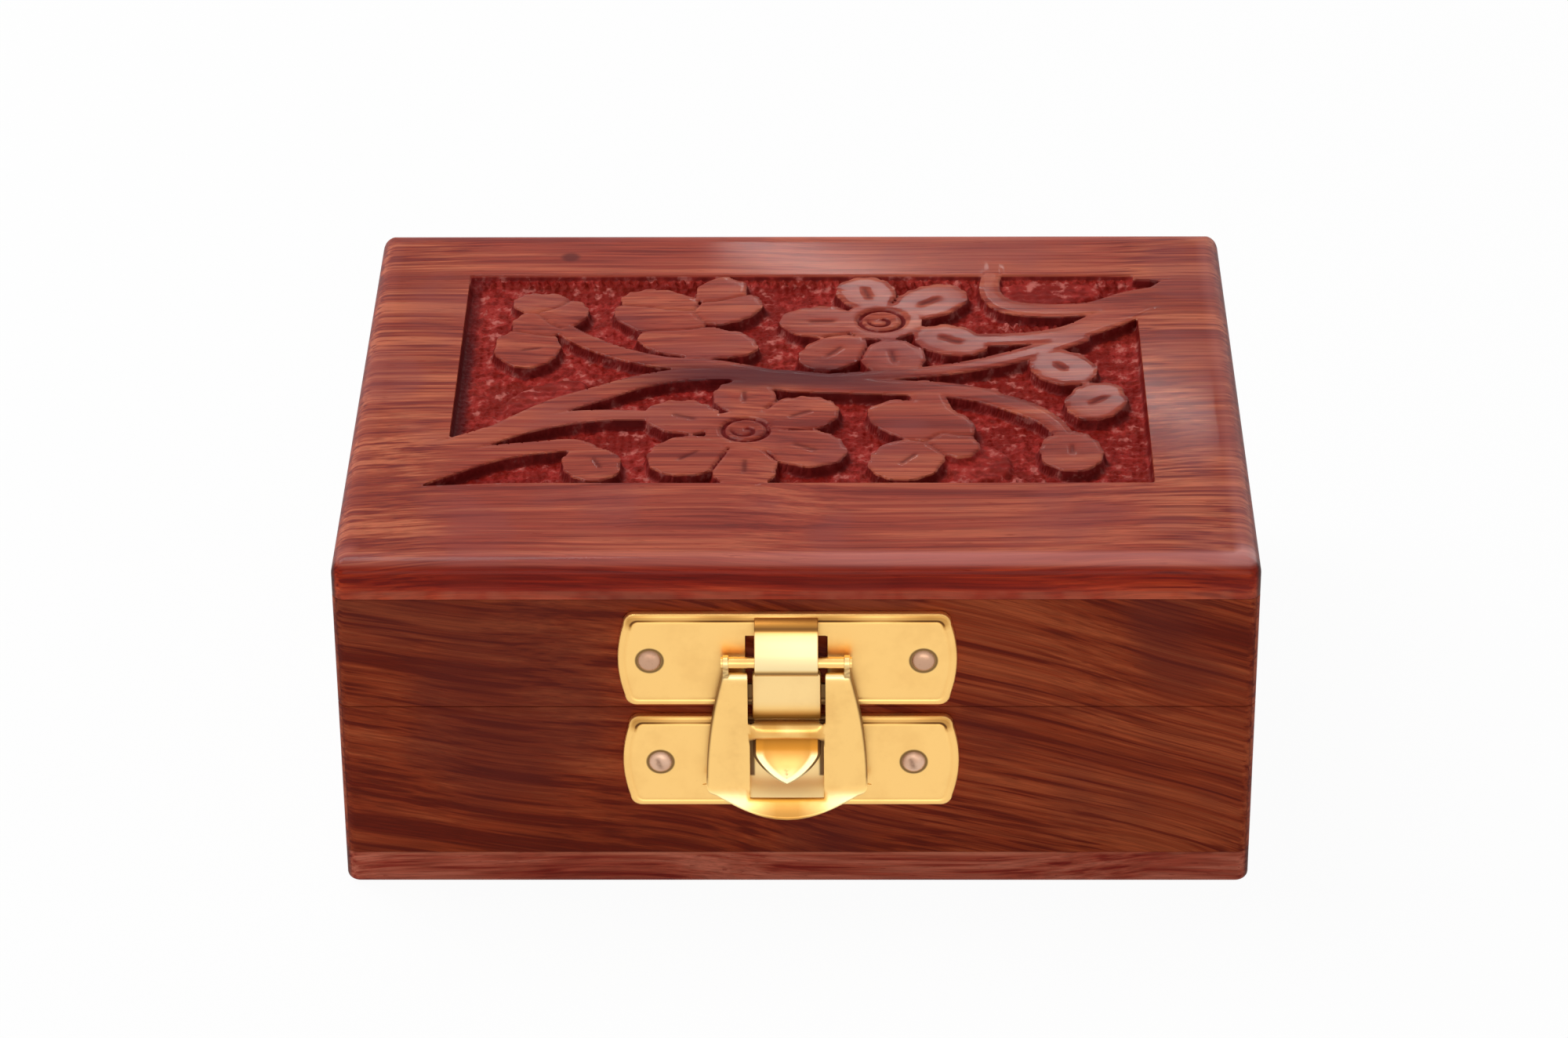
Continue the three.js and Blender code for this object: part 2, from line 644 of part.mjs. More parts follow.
// Upper plate: its strap folds out at the top edge, goes over the wire and back to the plate.
function haspPlate() {
  const plateTop = upperPlateFoot + PLATE_HEIGHT;
  const middle = eye + STRAP_THICKNESS / 2;
  const foldZ = plateTop - STRAP_THICKNESS / 2;
  const flat = plateFlat + STRAP_THICKNESS / 2;
  const round = [20, -15, -50, -85, -120].map((degrees) => {
    const angle = THREE.MathUtils.degToRad(degrees);
    return [wire.u + middle * Math.cos(angle), wire.z + middle * Math.sin(angle)];
  });
  const path = [
    [PLATE_THICKNESS / 2, foldZ - PLATE_RIM_DROP],
    [PLATE_THICKNESS, foldZ],
    [PLATE_THICKNESS + STRAP_FOLD_REACH, foldZ - STRAP_FOLD_DROP],
    ...round,
    [flat, wire.z - 2 * middle],
  ];
  const strap = sideways(band(path, [STRAP_THICKNESS, STRAP_THICKNESS], 34), STRAP_WIDTH);
  const tailShape = rectangle(
    -STRAP_TAIL_WIDTH / 2,
    STRAP_TAIL_WIDTH / 2,
    SEAM - STRAP_TAIL_END,
    wire.z - middle - STRAP_THICKNESS,
  );
  const tail = frontal(tailShape, plateFlat, plateFlat + STRAP_THICKNESS);
  const window = rectangle(
    -STRAP_WINDOW_WIDTH / 2,
    STRAP_WINDOW_WIDTH / 2,
    upperPlateFoot + WIRE_HEIGHT - STRAP_WINDOW_FOOT,
    plateTop - STRAP_WINDOW_TOP,
  );
  const plate = moved(claspPlate(), 0, 0, upperPlateFoot);
  const holed = cut(plate, [frontal(window, -BEYOND, PLATE_THICKNESS + BEYOND)]);
  const wireBore = rodX(eye, -STRAP_WIDTH, STRAP_WIDTH, -wire.u, wire.z);
  return cut(joined([holed, strap, tail]), [wireBore, ...claspNailBores(true)]);
}

// Lower plate: a tongue with a pointed end stands out of it, for the hasp to drop over.
function catchPlate() {
  const plateTop = lowerPlateFoot + PLATE_HEIGHT;
  const root = PLATE_THICKNESS - NOSE_THICKNESS / 2;
  const path = [
    [root, plateTop - NOSE_TOP],
    [root + NOSE_REACH * 0.3, plateTop - NOSE_TOP - (NOSE_TIP - NOSE_TOP) * 0.22],
    [root + NOSE_REACH * 0.72, plateTop - NOSE_TOP - (NOSE_TIP - NOSE_TOP) * 0.54],
    [root + NOSE_REACH, plateTop - NOSE_TIP],
  ];
  const sheet = sideways(band(path, [NOSE_THICKNESS, NOSE_THICKNESS], 8), NOSE_WIDTH);
  const half = NOSE_WIDTH / 2;
  const tipZ = plateTop - NOSE_TIP + NOSE_THICKNESS / 2;
  const pointed = polygon([
    [-half, plateTop - NOSE_SIDE_TIP],
    [-NOSE_TIP_WIDTH / 2, tipZ],
    [NOSE_TIP_WIDTH / 2, tipZ],
    [half, plateTop - NOSE_SIDE_TIP],
    [half, plateTop],
    [-half, plateTop],
  ]);
  const tongue = common(sheet, frontal(pointed, -BEYOND, PLATE_THICKNESS + 2 * NOSE_REACH));
  const plate = moved(claspPlate(), 0, 0, lowerPlateFoot);
  return cut(joined([plate, tongue]), claspNailBores(false));
}

// The hasp's bell outline from the front, drawn in by the inset.
function haspOutline(inset) {
  const top = wire.z - HASP_TOP_DROP + 2 * inset;
  const widest = wire.z - HASP_WIDEST_DROP;
  const foot = wire.z - HASP_LENGTH + inset;
  const halfTop = HASP_TOP_WIDTH / 2 - inset;
  const half = HASP_WIDTH / 2 - inset;
  const corner = HASP_CORNER;
  const shape = new THREE.Shape();
  shape.moveTo(-halfTop, top);
  shape.quadraticCurveTo(-half, (top + widest) / 2, -half, widest);
  shape.quadraticCurveTo(-half, widest - corner * 0.8, -half + corner, widest - corner);
  shape.quadraticCurveTo(0, 2 * foot - widest + corner, half - corner, widest - corner);
  shape.quadraticCurveTo(half, widest - corner * 0.8, half, widest);
  shape.quadraticCurveTo(half, (top + widest) / 2, halfTop, top);
  return shape;
}

// The hasp's section from the side: its face, set back by the given depth, then its back.
function haspSection(setBack, backLine, thinLip) {
  const face = wire.u + HASP_FACE - setBack;
  const top = wire.z - HASP_TOP_DROP + 2 * setBack;
  const lip = wire.z - HASP_LIP_DROP;
  const foot = wire.z - HASP_LENGTH - BEYOND;
  const flare = (HASP_LIP_FLARE * (lip - foot)) / (HASP_LENGTH - HASP_LIP_DROP);
  const bend = (lip + foot) / 2;
  const shape = new THREE.Shape();
  shape.moveTo(face - HASP_FACE, top);
  shape.quadraticCurveTo(face, top, face, top - HASP_SHOULDER);
  shape.lineTo(face, lip);
  shape.quadraticCurveTo(face, bend, face + flare, foot);
  if (thinLip) {
    shape.lineTo(face + flare - HASP_SHEET, foot);
    shape.quadraticCurveTo(face - HASP_SHEET, bend, face - HASP_SHEET, lip);
    shape.lineTo(backLine, lip + HASP_SHEET);
  } else {
    shape.lineTo(backLine, foot);
  }
  shape.lineTo(backLine, top);
  return shape;
}

// Hasp: one pressing with turned-back edges, two windows with a bulged bridge, and two ears.
function hasp() {
  const across = HASP_WIDTH + 2 * BEYOND;
  const far = wire.u + HASP_LIP_FLARE + HASP_LENGTH;
  const backLine = PLATE_THICKNESS + HASP_BACK_GAP;
  const full = common(sideways(haspSection(0, backLine, true), across), frontal(haspOutline(0), 0, far));
  const hollow = common(
    sideways(haspSection(HASP_SHEET, backLine - 2 * BEYOND, false), across),
    frontal(haspOutline(HASP_SHEET), -2 * BEYOND, far),
  );
  const halfUpper = HASP_UPPER_WINDOW / 2;
  const halfLower = HASP_LOWER_WINDOW / 2;
  const bridgeTop = wire.z - HASP_BRIDGE_DROP;
  const upper = rectangle(-halfUpper, halfUpper, bridgeTop, wire.z);
  const lower = rectangle(-halfLower, halfLower, wire.z - HASP_WINDOW_END, bridgeTop - HASP_BRIDGE);
  const windows = [upper, lower].map((window) => frontal(window, -2 * BEYOND, far));

  const rollU = wire.u + HASP_FACE + HASP_BRIDGE_BULGE - HASP_BRIDGE / 2;
  const rollZ = bridgeTop - HASP_BRIDGE / 2;
  const roll = rodX(HASP_BRIDGE / 2, -halfUpper - FUSE, halfUpper + FUSE, -rollU, rollZ);
  const behind = wire.u + HASP_FACE - HASP_SHEET;
  const bridge = common(roll, box(-across, across, -far, -behind, rollZ - HASP_BRIDGE, rollZ + HASP_BRIDGE));

  const ears = [-1, 1].flatMap((side) => {
    const outer = HASP_TOP_WIDTH / 2;
    const x0 = side < 0 ? -outer : outer - HASP_SHEET;
    const front = wire.u + HASP_FACE - FUSE;
    const back = wire.u - HASP_EAR_RADIUS + 2 * FUSE;
    const foot = wire.z - HASP_TOP_DROP - HASP_SHOULDER;
    return [
      rodX(HASP_EAR_RADIUS, x0, x0 + HASP_SHEET, -wire.u, wire.z),
      box(x0, x0 + HASP_SHEET, -front, -back, foot, wire.z),
    ];
  });
  const sheet = cut(full, [hollow, ...windows]);
  return cut(joined([sheet, bridge, ...ears]), [rodX(eye, -across, across, -wire.u, wire.z)]);
}

function haspWire() {
  const half = HASP_TOP_WIDTH / 2 + WIRE_OVERHANG;
  return rodX(WIRE_RADIUS, -half, half, -wire.u, wire.z);
}

// Assembly
const model = new THREE.Group();
const base = new THREE.Group();
const lid = new THREE.Group();
const claspOnBase = new THREE.Group();
const claspOnLid = new THREE.Group();
claspOnBase.position.set(CLASP_X, FRONT, 0);
claspOnLid.position.set(CLASP_X, FRONT, 0);
base.add(claspOnBase);
lid.add(claspOnLid);
model.add(base, lid);

const liningX = BOX_WIDTH / 2 - WALL - LINING_CLEARANCE;
const liningY = BOX_DEPTH / 2 - WALL - LINING_CLEARANCE;
const liningTop = BOTTOM_BOARD + LINING_THICKNESS;
const baseWalls = placedWalls(BOTTOM_BOARD, BASE_RIM);
base.add(
  named("bottom_board", board(0, BOTTOM_BOARD, BOTTOM_EDGE_RADIUS, -1), "wood"),
  named("base_front_wall", frontWall(baseWalls.front, false), "wood"),
  named("base_back_wall", backWall(baseWalls.back, false), "wood"),
  named("base_left_wall", sideWall(baseWalls.left, false), "wood"),
  named("base_right_wall", sideWall(baseWalls.right, false), "wood"),
  named("floor_lining", box(-liningX, liningX, -liningY, liningY, BOTTOM_BOARD, liningTop), "velvet"),
);

const lidWalls = placedWalls(LID_RIM, BOARD_BASE);
lid.add(
  named("carved_top_board", carvedBoard(), "carvedWood"),
  named("lid_front_wall", frontWall(lidWalls.front, true), "wood"),
  named("lid_back_wall", backWall(lidWalls.back, true), "wood"),
  named("lid_left_wall", sideWall(lidWalls.left, true), "wood"),
  named("lid_right_wall", sideWall(lidWalls.right, true), "wood"),
);

for (const [hand, x] of Object.entries(hingeX)) {
  const half = HINGE_LENGTH / 2;
  base.add(named(`${hand}_hinge_pin`, rodX(HINGE_PIN_RADIUS, x - half, x + half, HINGE_Y, SEAM), "brass"));
  for (const onLid of [false, true]) {
    const side = onLid ? "lid" : "base";
    const group = onLid ? lid : base;
    group.add(named(`${hand}_hinge_${side}_leaf`, hingeLeaf(x, onLid), "brass"));
    for (const [place, away] of [["outer", Math.sign(x)], ["inner", -Math.sign(x)]]) {
      const placed = placedHingeNail(nail(HINGE_NAIL, HINGE_NAIL_LENGTH), x, away, onLid);
      group.add(named(`${hand}_hinge_${side}_nail_${place}`, placed, "brass"));
    }
  }
}

claspOnBase.add(named("catch_plate", catchPlate(), "brass"));
claspOnLid.add(
  named("hasp_plate", haspPlate(), "brass"),
  named("hasp_wire", haspWire(), "brass"),
  named("hasp", hasp(), "brass"),
);
for (const onLid of [false, true]) {
  for (const { hand, place } of claspNails(onLid)) {
    const owner = onLid ? "hasp" : "catch";
    const group = onLid ? claspOnLid : claspOnBase;
    group.add(named(`${owner}_plate_nail_${hand}`, place(nail(CLASP_NAIL, claspNailLength)), "nail"));
  }
}

export default model;
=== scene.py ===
import bmesh
import bpy
import numpy as np
from mathutils import Matrix


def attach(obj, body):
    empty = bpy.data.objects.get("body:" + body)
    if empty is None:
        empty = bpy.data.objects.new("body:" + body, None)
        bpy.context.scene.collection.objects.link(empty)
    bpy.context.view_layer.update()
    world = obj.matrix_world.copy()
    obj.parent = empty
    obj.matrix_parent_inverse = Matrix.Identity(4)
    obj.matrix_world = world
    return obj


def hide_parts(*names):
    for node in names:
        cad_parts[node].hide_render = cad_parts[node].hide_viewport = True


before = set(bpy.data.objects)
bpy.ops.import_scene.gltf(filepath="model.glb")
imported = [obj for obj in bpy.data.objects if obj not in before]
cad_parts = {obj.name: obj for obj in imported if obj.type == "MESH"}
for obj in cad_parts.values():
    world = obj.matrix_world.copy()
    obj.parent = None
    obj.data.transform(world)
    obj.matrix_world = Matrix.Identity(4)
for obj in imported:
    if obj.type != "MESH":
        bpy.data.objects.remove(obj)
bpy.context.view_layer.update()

# Camera.
# A long lens stands a little above the box, almost square to the clasp side,
# so that the lid shows its carved top and the front shows the clasp.

PICTURE_WIDTH = 2000
FOCAL_LENGTH = 6646 / PICTURE_WIDTH
SENSOR_WIDTH = 36.0
STAND_AZIMUTH = 0.730
STAND_ELEVATION = 30.101
CAMERA_ROLL = -0.404
CAMERA_PLACE = (-0.0184, 0.2073, 6.123)
BOX_WIDTH_IN_METRES = 0.102


def camera_turn(azimuth, elevation, roll):
    """Rows that are the camera's right, up and back. Back is the direction from the box at
    the azimuth and elevation, right is level, up is back cross right, and the roll then
    turns right and up about back."""
    a, e, r = np.radians([azimuth, elevation, roll])
    back = np.array([np.sin(a) * np.cos(e), -np.cos(a) * np.cos(e), np.sin(e)])
    right = np.array([np.cos(a), np.sin(a), 0.0])
    level = np.array([right, np.cross(back, right), back])
    spin = np.array([[np.cos(r), np.sin(r), 0], [-np.sin(r), np.cos(r), 0], [0, 0, 1]])
    return spin @ level


turn = camera_turn(STAND_AZIMUTH, STAND_ELEVATION, CAMERA_ROLL)
stand = turn.T @ np.array(CAMERA_PLACE) * BOX_WIDTH_IN_METRES
lens = bpy.data.cameras.new("camera")
lens.sensor_width = SENSOR_WIDTH
lens.lens = SENSOR_WIDTH * FOCAL_LENGTH
lens.clip_start = 0.02
lens.clip_end = 20.0
camera = bpy.data.objects.new("camera", lens)
bpy.context.collection.objects.link(camera)
camera.matrix_world = Matrix.Translation(stand) @ Matrix(turn.T.tolist()).to_4x4()
bpy.context.scene.camera = camera
bpy.context.scene.view_settings.view_transform = "Standard"

# Studio.
# A pale sweep on the table, a wide soft lamp above and a little behind the box, a softbox
# low in front that the brass reflects, and a long narrow lamp farther back that puts the
# slanting gleam across the varnished top.

ROOM_LEVEL = 0.26
WHITE = (1, 1, 1, 1)
FLOOR_COLOUR = (0.84, 0.84, 0.84, 1)
FLOOR_HALF = 2.5
FLOOR_SHOWN_WHITE = 0.96
OVERHEAD_PLACE, OVERHEAD_TARGET = (-0.40, 0.28, 0.88), (0, 0, 0.02)
OVERHEAD_SIZE, OVERHEAD_WATTS = (0.70, 0.55), 7.1
SOFTBOX_PLACE, SOFTBOX_TARGET = (0.10, -1.50, 0.40), (0, 0, 0.03)
SOFTBOX_SIZE, SOFTBOX_WATTS = (1.30, 0.60), 4.2
TOP_PLANE = 0.042
GLEAM_START = (-0.010, 0.041)
GLEAM_END = (0.0475, -0.0085)
GLEAM_AWAY = 0.85
GLEAM_WIDTH = 0.0065
GLEAM_WATTS = 0.092


def node(tree, kind, *wires, settings=(), **named):
    """One node of a tree. Each wire is an output to join or a value to set, first the
    unnamed ones in the order of the sockets, then those given by the socket's name."""
    made = tree.nodes.new(kind)
    for key, value in dict(settings).items():
        setattr(made, key, value)
    places = [(place, wire) for place, wire in enumerate(wires) if wire is not None]
    places += [(place.replace("_", " "), wire) for place, wire in named.items()]
    for place, wire in places:
        if isinstance(wire, bpy.types.NodeSocket):
            tree.links.new(wire, made.inputs[place])
        else:
            made.inputs[place].default_value = wire
    return made


def sums(tree, operation, *wires, clamp=False):
    """The result of one step of arithmetic on numbers."""
    settings = {"operation": operation, "use_clamp": clamp}
    return node(tree, "ShaderNodeMath", *wires, settings=settings).outputs[0]


def seen_directly(tree):
    """1 for a ray from the camera, a mirror or clear glass, and 0 for any other."""
    path = node(tree, "ShaderNodeLightPath").outputs
    seen = sums(tree, "MAXIMUM", path["Is Camera Ray"], path["Is Glossy Ray"])
    return sums(tree, "MAXIMUM", seen, path["Is Transmission Ray"])


world = bpy.data.worlds.new("studio")
world.use_nodes = True
bpy.context.scene.world = world
sky = world.node_tree
sky.nodes.clear()
room = node(sky, "ShaderNodeBackground", WHITE, ROOM_LEVEL)
paper = node(sky, "ShaderNodeBackground", WHITE, 1.0)
both = node(sky, "ShaderNodeMixShader", seen_directly(sky), room.outputs[0], paper.outputs[0])
node(sky, "ShaderNodeOutputWorld", both.outputs[0])

floor_mesh = bpy.data.meshes.new("floor")
corners = FLOOR_HALF * np.array([[-1, -1, 0], [1, -1, 0], [1, 1, 0], [-1, 1, 0]])
floor_mesh.from_pydata(corners.tolist(), [], [(0, 1, 2, 3)])
floor = bpy.data.objects.new("floor", floor_mesh)
bpy.context.collection.objects.link(floor)
paper_white = bpy.data.materials.new("paper sweep")
paper_white.use_nodes = True
tree = paper_white.node_tree
tree.nodes.clear()
share = sums(tree, "MULTIPLY", seen_directly(tree), FLOOR_SHOWN_WHITE)
matt = node(tree, "ShaderNodeBsdfDiffuse", FLOOR_COLOUR)
bright = node(tree, "ShaderNodeEmission", WHITE, 1.0)
both = node(tree, "ShaderNodeMixShader", share, matt.outputs[0], bright.outputs[0])
node(tree, "ShaderNodeOutputMaterial", both.outputs[0])
floor_mesh.materials.append(paper_white)


def area_lamp(name, place, axes, size, watts):
    """A rectangular lamp at a place. Its axes are the directions of its width, its height
    and its back."""
    data = bpy.data.lights.new(name, "AREA")
    data.shape = "RECTANGLE"
    data.size, data.size_y = size
    data.energy = watts
    made = bpy.data.objects.new(name, data)
    bpy.context.collection.objects.link(made)
    turned = Matrix(np.column_stack(axes).tolist()).to_4x4()
    made.matrix_world = Matrix.Translation(place) @ turned


def aimed_lamp(name, place, target, size, watts):
    """A lamp that points from its place at the target. Its back is the direction from the
    target to the place, and its width is the cross product of +Y and the back."""
    place, target = np.array(place, float), np.array(target, float)
    back = (place - target) / np.linalg.norm(place - target)
    side = np.cross([0.0, 1.0, 0.0], back)
    side /= np.linalg.norm(side)
    area_lamp(name, place, [side, np.cross(back, side), back], size, watts)


def gleam_lamp():
    """The strip lamp whose mirror image in the box's top runs between two points of it: the
    camera is mirrored in the plane of the top, and the lines from there through the two
    points are followed beyond them by the same distance."""
    mirrored = stand * (1, 1, -1) + (0, 0, 2 * TOP_PLANE)
    ends = np.array([[*GLEAM_START, TOP_PLANE], [*GLEAM_END, TOP_PLANE]])
    rays = ends - mirrored
    rays /= np.linalg.norm(rays, axis=1)[:, None]
    start, end = ends + GLEAM_AWAY * rays
    length = float(np.linalg.norm(end - start))
    along = (end - start) / length
    back = rays.mean(axis=0)
    back -= back.dot(along) * along
    back /= np.linalg.norm(back)
    axes = [along, np.cross(back, along), back]
    area_lamp("strip lamp", (start + end) / 2, axes, (length, GLEAM_WIDTH), GLEAM_WATTS)


aimed_lamp("overhead lamp", OVERHEAD_PLACE, OVERHEAD_TARGET, OVERHEAD_SIZE, OVERHEAD_WATTS)
aimed_lamp("front softbox", SOFTBOX_PLACE, SOFTBOX_TARGET, SOFTBOX_SIZE, SOFTBOX_WATTS)
gleam_lamp()

# Bottom board.
# A sawn hardwood board of the box's plan, glued under the walls. Its lower edge is sanded
# round and its upper edge just broken, and a fine pale line along the joint is a painted
# highlight for the light that the broken edge catches.

BOX_WIDTH, BOX_DEPTH = 102.0, 80.0
BOTTOM_BOARD = 4.2
CORNER_RADIUS = 1.5
SHARPEST_CORNER = 0.2
BOTTOM_EDGE_RADIUS = 0.9
BROKEN_EDGE = 0.10
BOTTOM_LIGHT = (0.560, 0.150, 0.090, 1)
BOTTOM_MIDDLE = (0.410, 0.072, 0.038, 1)
BOTTOM_DARK = (0.235, 0.018, 0.010, 1)
JOINT_PAINTED_HIGHLIGHT = (0.620, 0.200, 0.110, 1)
VARNISH, VARNISH_ROUGHNESS = 0.06, 0.075
WOOD_GLOSS = 0.05
GRAIN_RELIEF = 0.00006


def corner_arcs(inset, steps):
    """The four rounded corners of the box's plan drawn in by the inset, counterclockwise
    from the right front one. Each is a quarter circle of the corner radius less the inset."""
    radius = max(CORNER_RADIUS - inset, SHARPEST_CORNER)
    reach = np.array([BOX_WIDTH / 2 - inset - radius, BOX_DEPTH / 2 - inset - radius])
    arcs = []
    for quarter, sides in enumerate([(1, -1), (1, 1), (-1, 1), (-1, -1)]):
        angle = np.radians(np.linspace(0, 90, steps + 1) + 90 * (quarter - 1))
        arcs.append(reach * sides + radius * np.column_stack([np.cos(angle), np.sin(angle)]))
    return arcs


def at_height(plan, z):
    """The points of a plan as a level ring at a height."""
    return np.column_stack([plan, np.full(len(plan), z)])


def edge_round(radius, steps):
    """A quarter circle as pairs of inset and rise: inset is the radius less its cosine
    share, rise its sine share, from the flat face to the upright side."""
    angle = np.radians(np.linspace(90, 0, steps + 1))
    return radius * (1 - np.cos(angle)), radius * np.sin(angle)


def ring_faces(count, size):
    """Faces between equal rings: point k of a ring joins point k of the next ring and its
    neighbour in the ring."""
    ring, spot = np.meshgrid(np.arange(count - 1), np.arange(size), indexing="ij")
    following = (spot + 1) % size
    quads = np.stack([ring * size + spot, ring * size + following,
                      (ring + 1) * size + following, (ring + 1) * size + spot], axis=-1)
    return quads.reshape(-1, 4)


def lofted(rings):
    """Points of a closed form through equal rings, and its faces as blocks of equal faces,
    with a flat face at each end."""
    count, size = rings.shape[:2]
    end = np.arange(size)[None]
    faces = [ring_faces(count, size), end[:, ::-1], (count - 1) * size + end]
    return rings.reshape(-1, 3), faces


def piece(name, parts, material, body, smooth_up_to=38.0, replaced=(), marks=None):
    """One object from parts, each of points in millimetres and blocks of faces. Like points
    are merged, normals turned outwards, and faces shaded smooth up to the given angle. It
    rides on a body, takes a slot's finish and stands for the CAD nodes named."""
    points, faces, start = [], [], 0
    for part_points, part_faces in parts:
        points.append(np.asarray(part_points, float) * 0.001)
        for block in part_faces:
            faces += (start + block).tolist()
        start += len(part_points)
    mesh = bpy.data.meshes.new(name)
    mesh.from_pydata(np.concatenate(points).tolist(), [], faces)
    for mark, values in (marks or {}).items():
        layer = mesh.attributes.new(mark, "FLOAT", "POINT")
        layer.data.foreach_set("value", np.asarray(values, np.float32))
    work = bmesh.new()
    work.from_mesh(mesh)
    bmesh.ops.remove_doubles(work, verts=work.verts, dist=1e-6)
    bmesh.ops.dissolve_degenerate(work, edges=work.edges, dist=1e-7)
    bmesh.ops.recalc_face_normals(work, faces=work.faces)
    work.to_mesh(mesh)
    work.free()
    mesh.polygons.foreach_set("use_smooth", np.ones(len(mesh.polygons), bool))
    mesh.set_sharp_from_angle(angle=np.radians(smooth_up_to))
    made = bpy.data.objects.new(name, mesh)
    bpy.context.collection.objects.link(made)
    mesh.materials.append(material)
    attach(made, body)
    if replaced:
        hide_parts(*replaced)
    return made


def mixed(tree, share, first, second, blend="MIX"):
    """Two colours mixed by a share."""
    settings = {"data_type": "RGBA", "blend_type": blend, "clamp_factor": True}
    made = node(tree, "ShaderNodeMix", share, settings=settings)
    for place, colour in ((6, first), (7, second)):
        if isinstance(colour, bpy.types.NodeSocket):
            tree.links.new(colour, made.inputs[place])
        else:
            made.inputs[place].default_value = colour
    return made.outputs[2]


def eased(tree, value, low, high, to_low=0.0, to_high=1.0):
    """A value carried smoothly from one range to another, and held beyond its ends."""
    settings = {"interpolation_type": "SMOOTHSTEP"}
    made = node(tree, "ShaderNodeMapRange", value, low, high, to_low, to_high, settings=settings)
    return made.outputs[0]


def noise(tree, vector, scale, detail=2.0, roughness=0.55):
    """Soft noise from 0 to 1 at a scale in cells per unit of the vector."""
    made = node(tree, "ShaderNodeTexNoise", Vector=vector, Scale=scale, Detail=detail,
                Roughness=roughness)
    return made.outputs["Fac"]


def new_group(name, inputs, outputs):
    """An empty shader node group with named inputs, each with its kind and value, and
    named outputs, and the two ends of its tree."""
    group = bpy.data.node_groups.new(name, "ShaderNodeTree")
    for label, (kind, value) in inputs.items():
        socket = group.interface.new_socket(label, in_out="INPUT", socket_type=kind)
        if value is not None:
            socket.default_value = value
    for label, kind in outputs.items():
        group.interface.new_socket(label, in_out="OUTPUT", socket_type=kind)
    entry = group.nodes.new("NodeGroupInput").outputs
    leave = group.nodes.new("NodeGroupOutput").inputs
    return group, entry, leave


def rosewood_group():
    """Sawn rosewood. The grain runs along the vector's X: noises stretched along it give
    broad figure, growth lines, fibres and short open pores. The growth lines are bowed by
    Lean times the square of the distance from a place beyond the left end."""
    inputs = {
        "Vector": ("NodeSocketVector", None),
        "Lean": ("NodeSocketFloat", 0.0),
        "Light": ("NodeSocketColor", (0.35, 0.08, 0.04, 1)),
        "Middle": ("NodeSocketColor", (0.25, 0.04, 0.02, 1)),
        "Dark": ("NodeSocketColor", (0.10, 0.01, 0.01, 1)),
        "Lines": ("NodeSocketFloat", 1.0),
        "Shortness": ("NodeSocketFloat", 1.0),
    }
    outputs = {"Color": "NodeSocketColor", "Shine": "NodeSocketFloat", "Height": "NodeSocketFloat"}
    group, entry, leave = new_group("rosewood", inputs, outputs)
    scaled = node(group, "ShaderNodeVectorMath", entry["Vector"], settings={"operation": "SCALE"},
                  Scale=1000.0)
    wander = noise(group, scaled.outputs[0], 0.022, 1.0)
    parts = node(group, "ShaderNodeSeparateXYZ", scaled.outputs[0]).outputs
    from_bow = sums(group, "ADD", parts[0], 109.0)
    bow = sums(group, "MULTIPLY", sums(group, "POWER", from_bow, 2.0), entry["Lean"])
    drift = sums(group, "MULTIPLY", sums(group, "SUBTRACT", wander, 0.5), 7.0)
    across = sums(group, "ADD", sums(group, "ADD", parts[2], bow), drift)
    side = sums(group, "ADD", parts[1], drift)

    run = sums(group, "MULTIPLY", parts[0], entry["Shortness"])

    def stretched(along, cross, detail, roughness=0.55):
        vector = node(group, "ShaderNodeCombineXYZ", sums(group, "MULTIPLY", run, along),
                      sums(group, "MULTIPLY", side, cross), sums(group, "MULTIPLY", across, cross))
        return noise(group, vector.outputs[0], 1.0, detail, roughness)

    figure = stretched(0.010, 0.13, 2.0)
    lines = stretched(0.014, 0.80, 1.0, 0.5)
    fine = stretched(0.024, 2.1, 1.0)
    fibre = stretched(0.095, 6.5, 2.0)
    pores = stretched(0.24, 4.2, 1.0)
    tone = sums(group, "ADD", sums(group, "MULTIPLY", figure, 0.40),
                sums(group, "ADD", sums(group, "MULTIPLY", lines, 0.34),
                     sums(group, "MULTIPLY", fine, 0.26)))
    light = eased(group, tone, 0.49, 0.60)
    dark = eased(group, tone, 0.49, 0.39)
    colour = mixed(group, light, entry["Middle"], entry["Light"])
    colour = mixed(group, dark, colour, entry["Dark"])
    line = eased(group, fine, 0.50, 0.36)
    line = sums(group, "MULTIPLY", line, eased(group, lines, 0.58, 0.42))
    line = sums(group, "MULTIPLY", line, entry["Lines"], clamp=True)
    colour = mixed(group, line, colour, entry["Dark"])
    thread = eased(group, fibre, 0.3, 0.7, 0.80, 1.18)
    shade = node(group, "ShaderNodeCombineColor", thread, thread, thread).outputs[0]
    colour = mixed(group, 1.0, colour, shade, "MULTIPLY")
    open_pore = eased(group, pores, 0.66, 0.76)
    colour = mixed(group, sums(group, "MULTIPLY", open_pore, 0.5), colour, entry["Dark"])
    group.links.new(colour, leave["Color"])
    group.links.new(sums(group, "ADD", eased(group, fibre, 0.2, 0.8, -0.06, 0.06),
                         sums(group, "MULTIPLY", open_pore, 0.2)), leave["Shine"])
    height = sums(group, "SUBTRACT", sums(group, "MULTIPLY", fibre, 0.5), open_pore)
    group.links.new(height, leave["Height"])
    return group


rosewood = rosewood_group()


def new_finish(name):
    """A new material with its tree, its shader and the object coordinates."""
    made = bpy.data.materials.new(name)
    made.use_nodes = True
    tree = made.node_tree
    place = node(tree, "ShaderNodeTexCoord").outputs["Object"]
    return made, tree, tree.nodes["Principled BSDF"], place


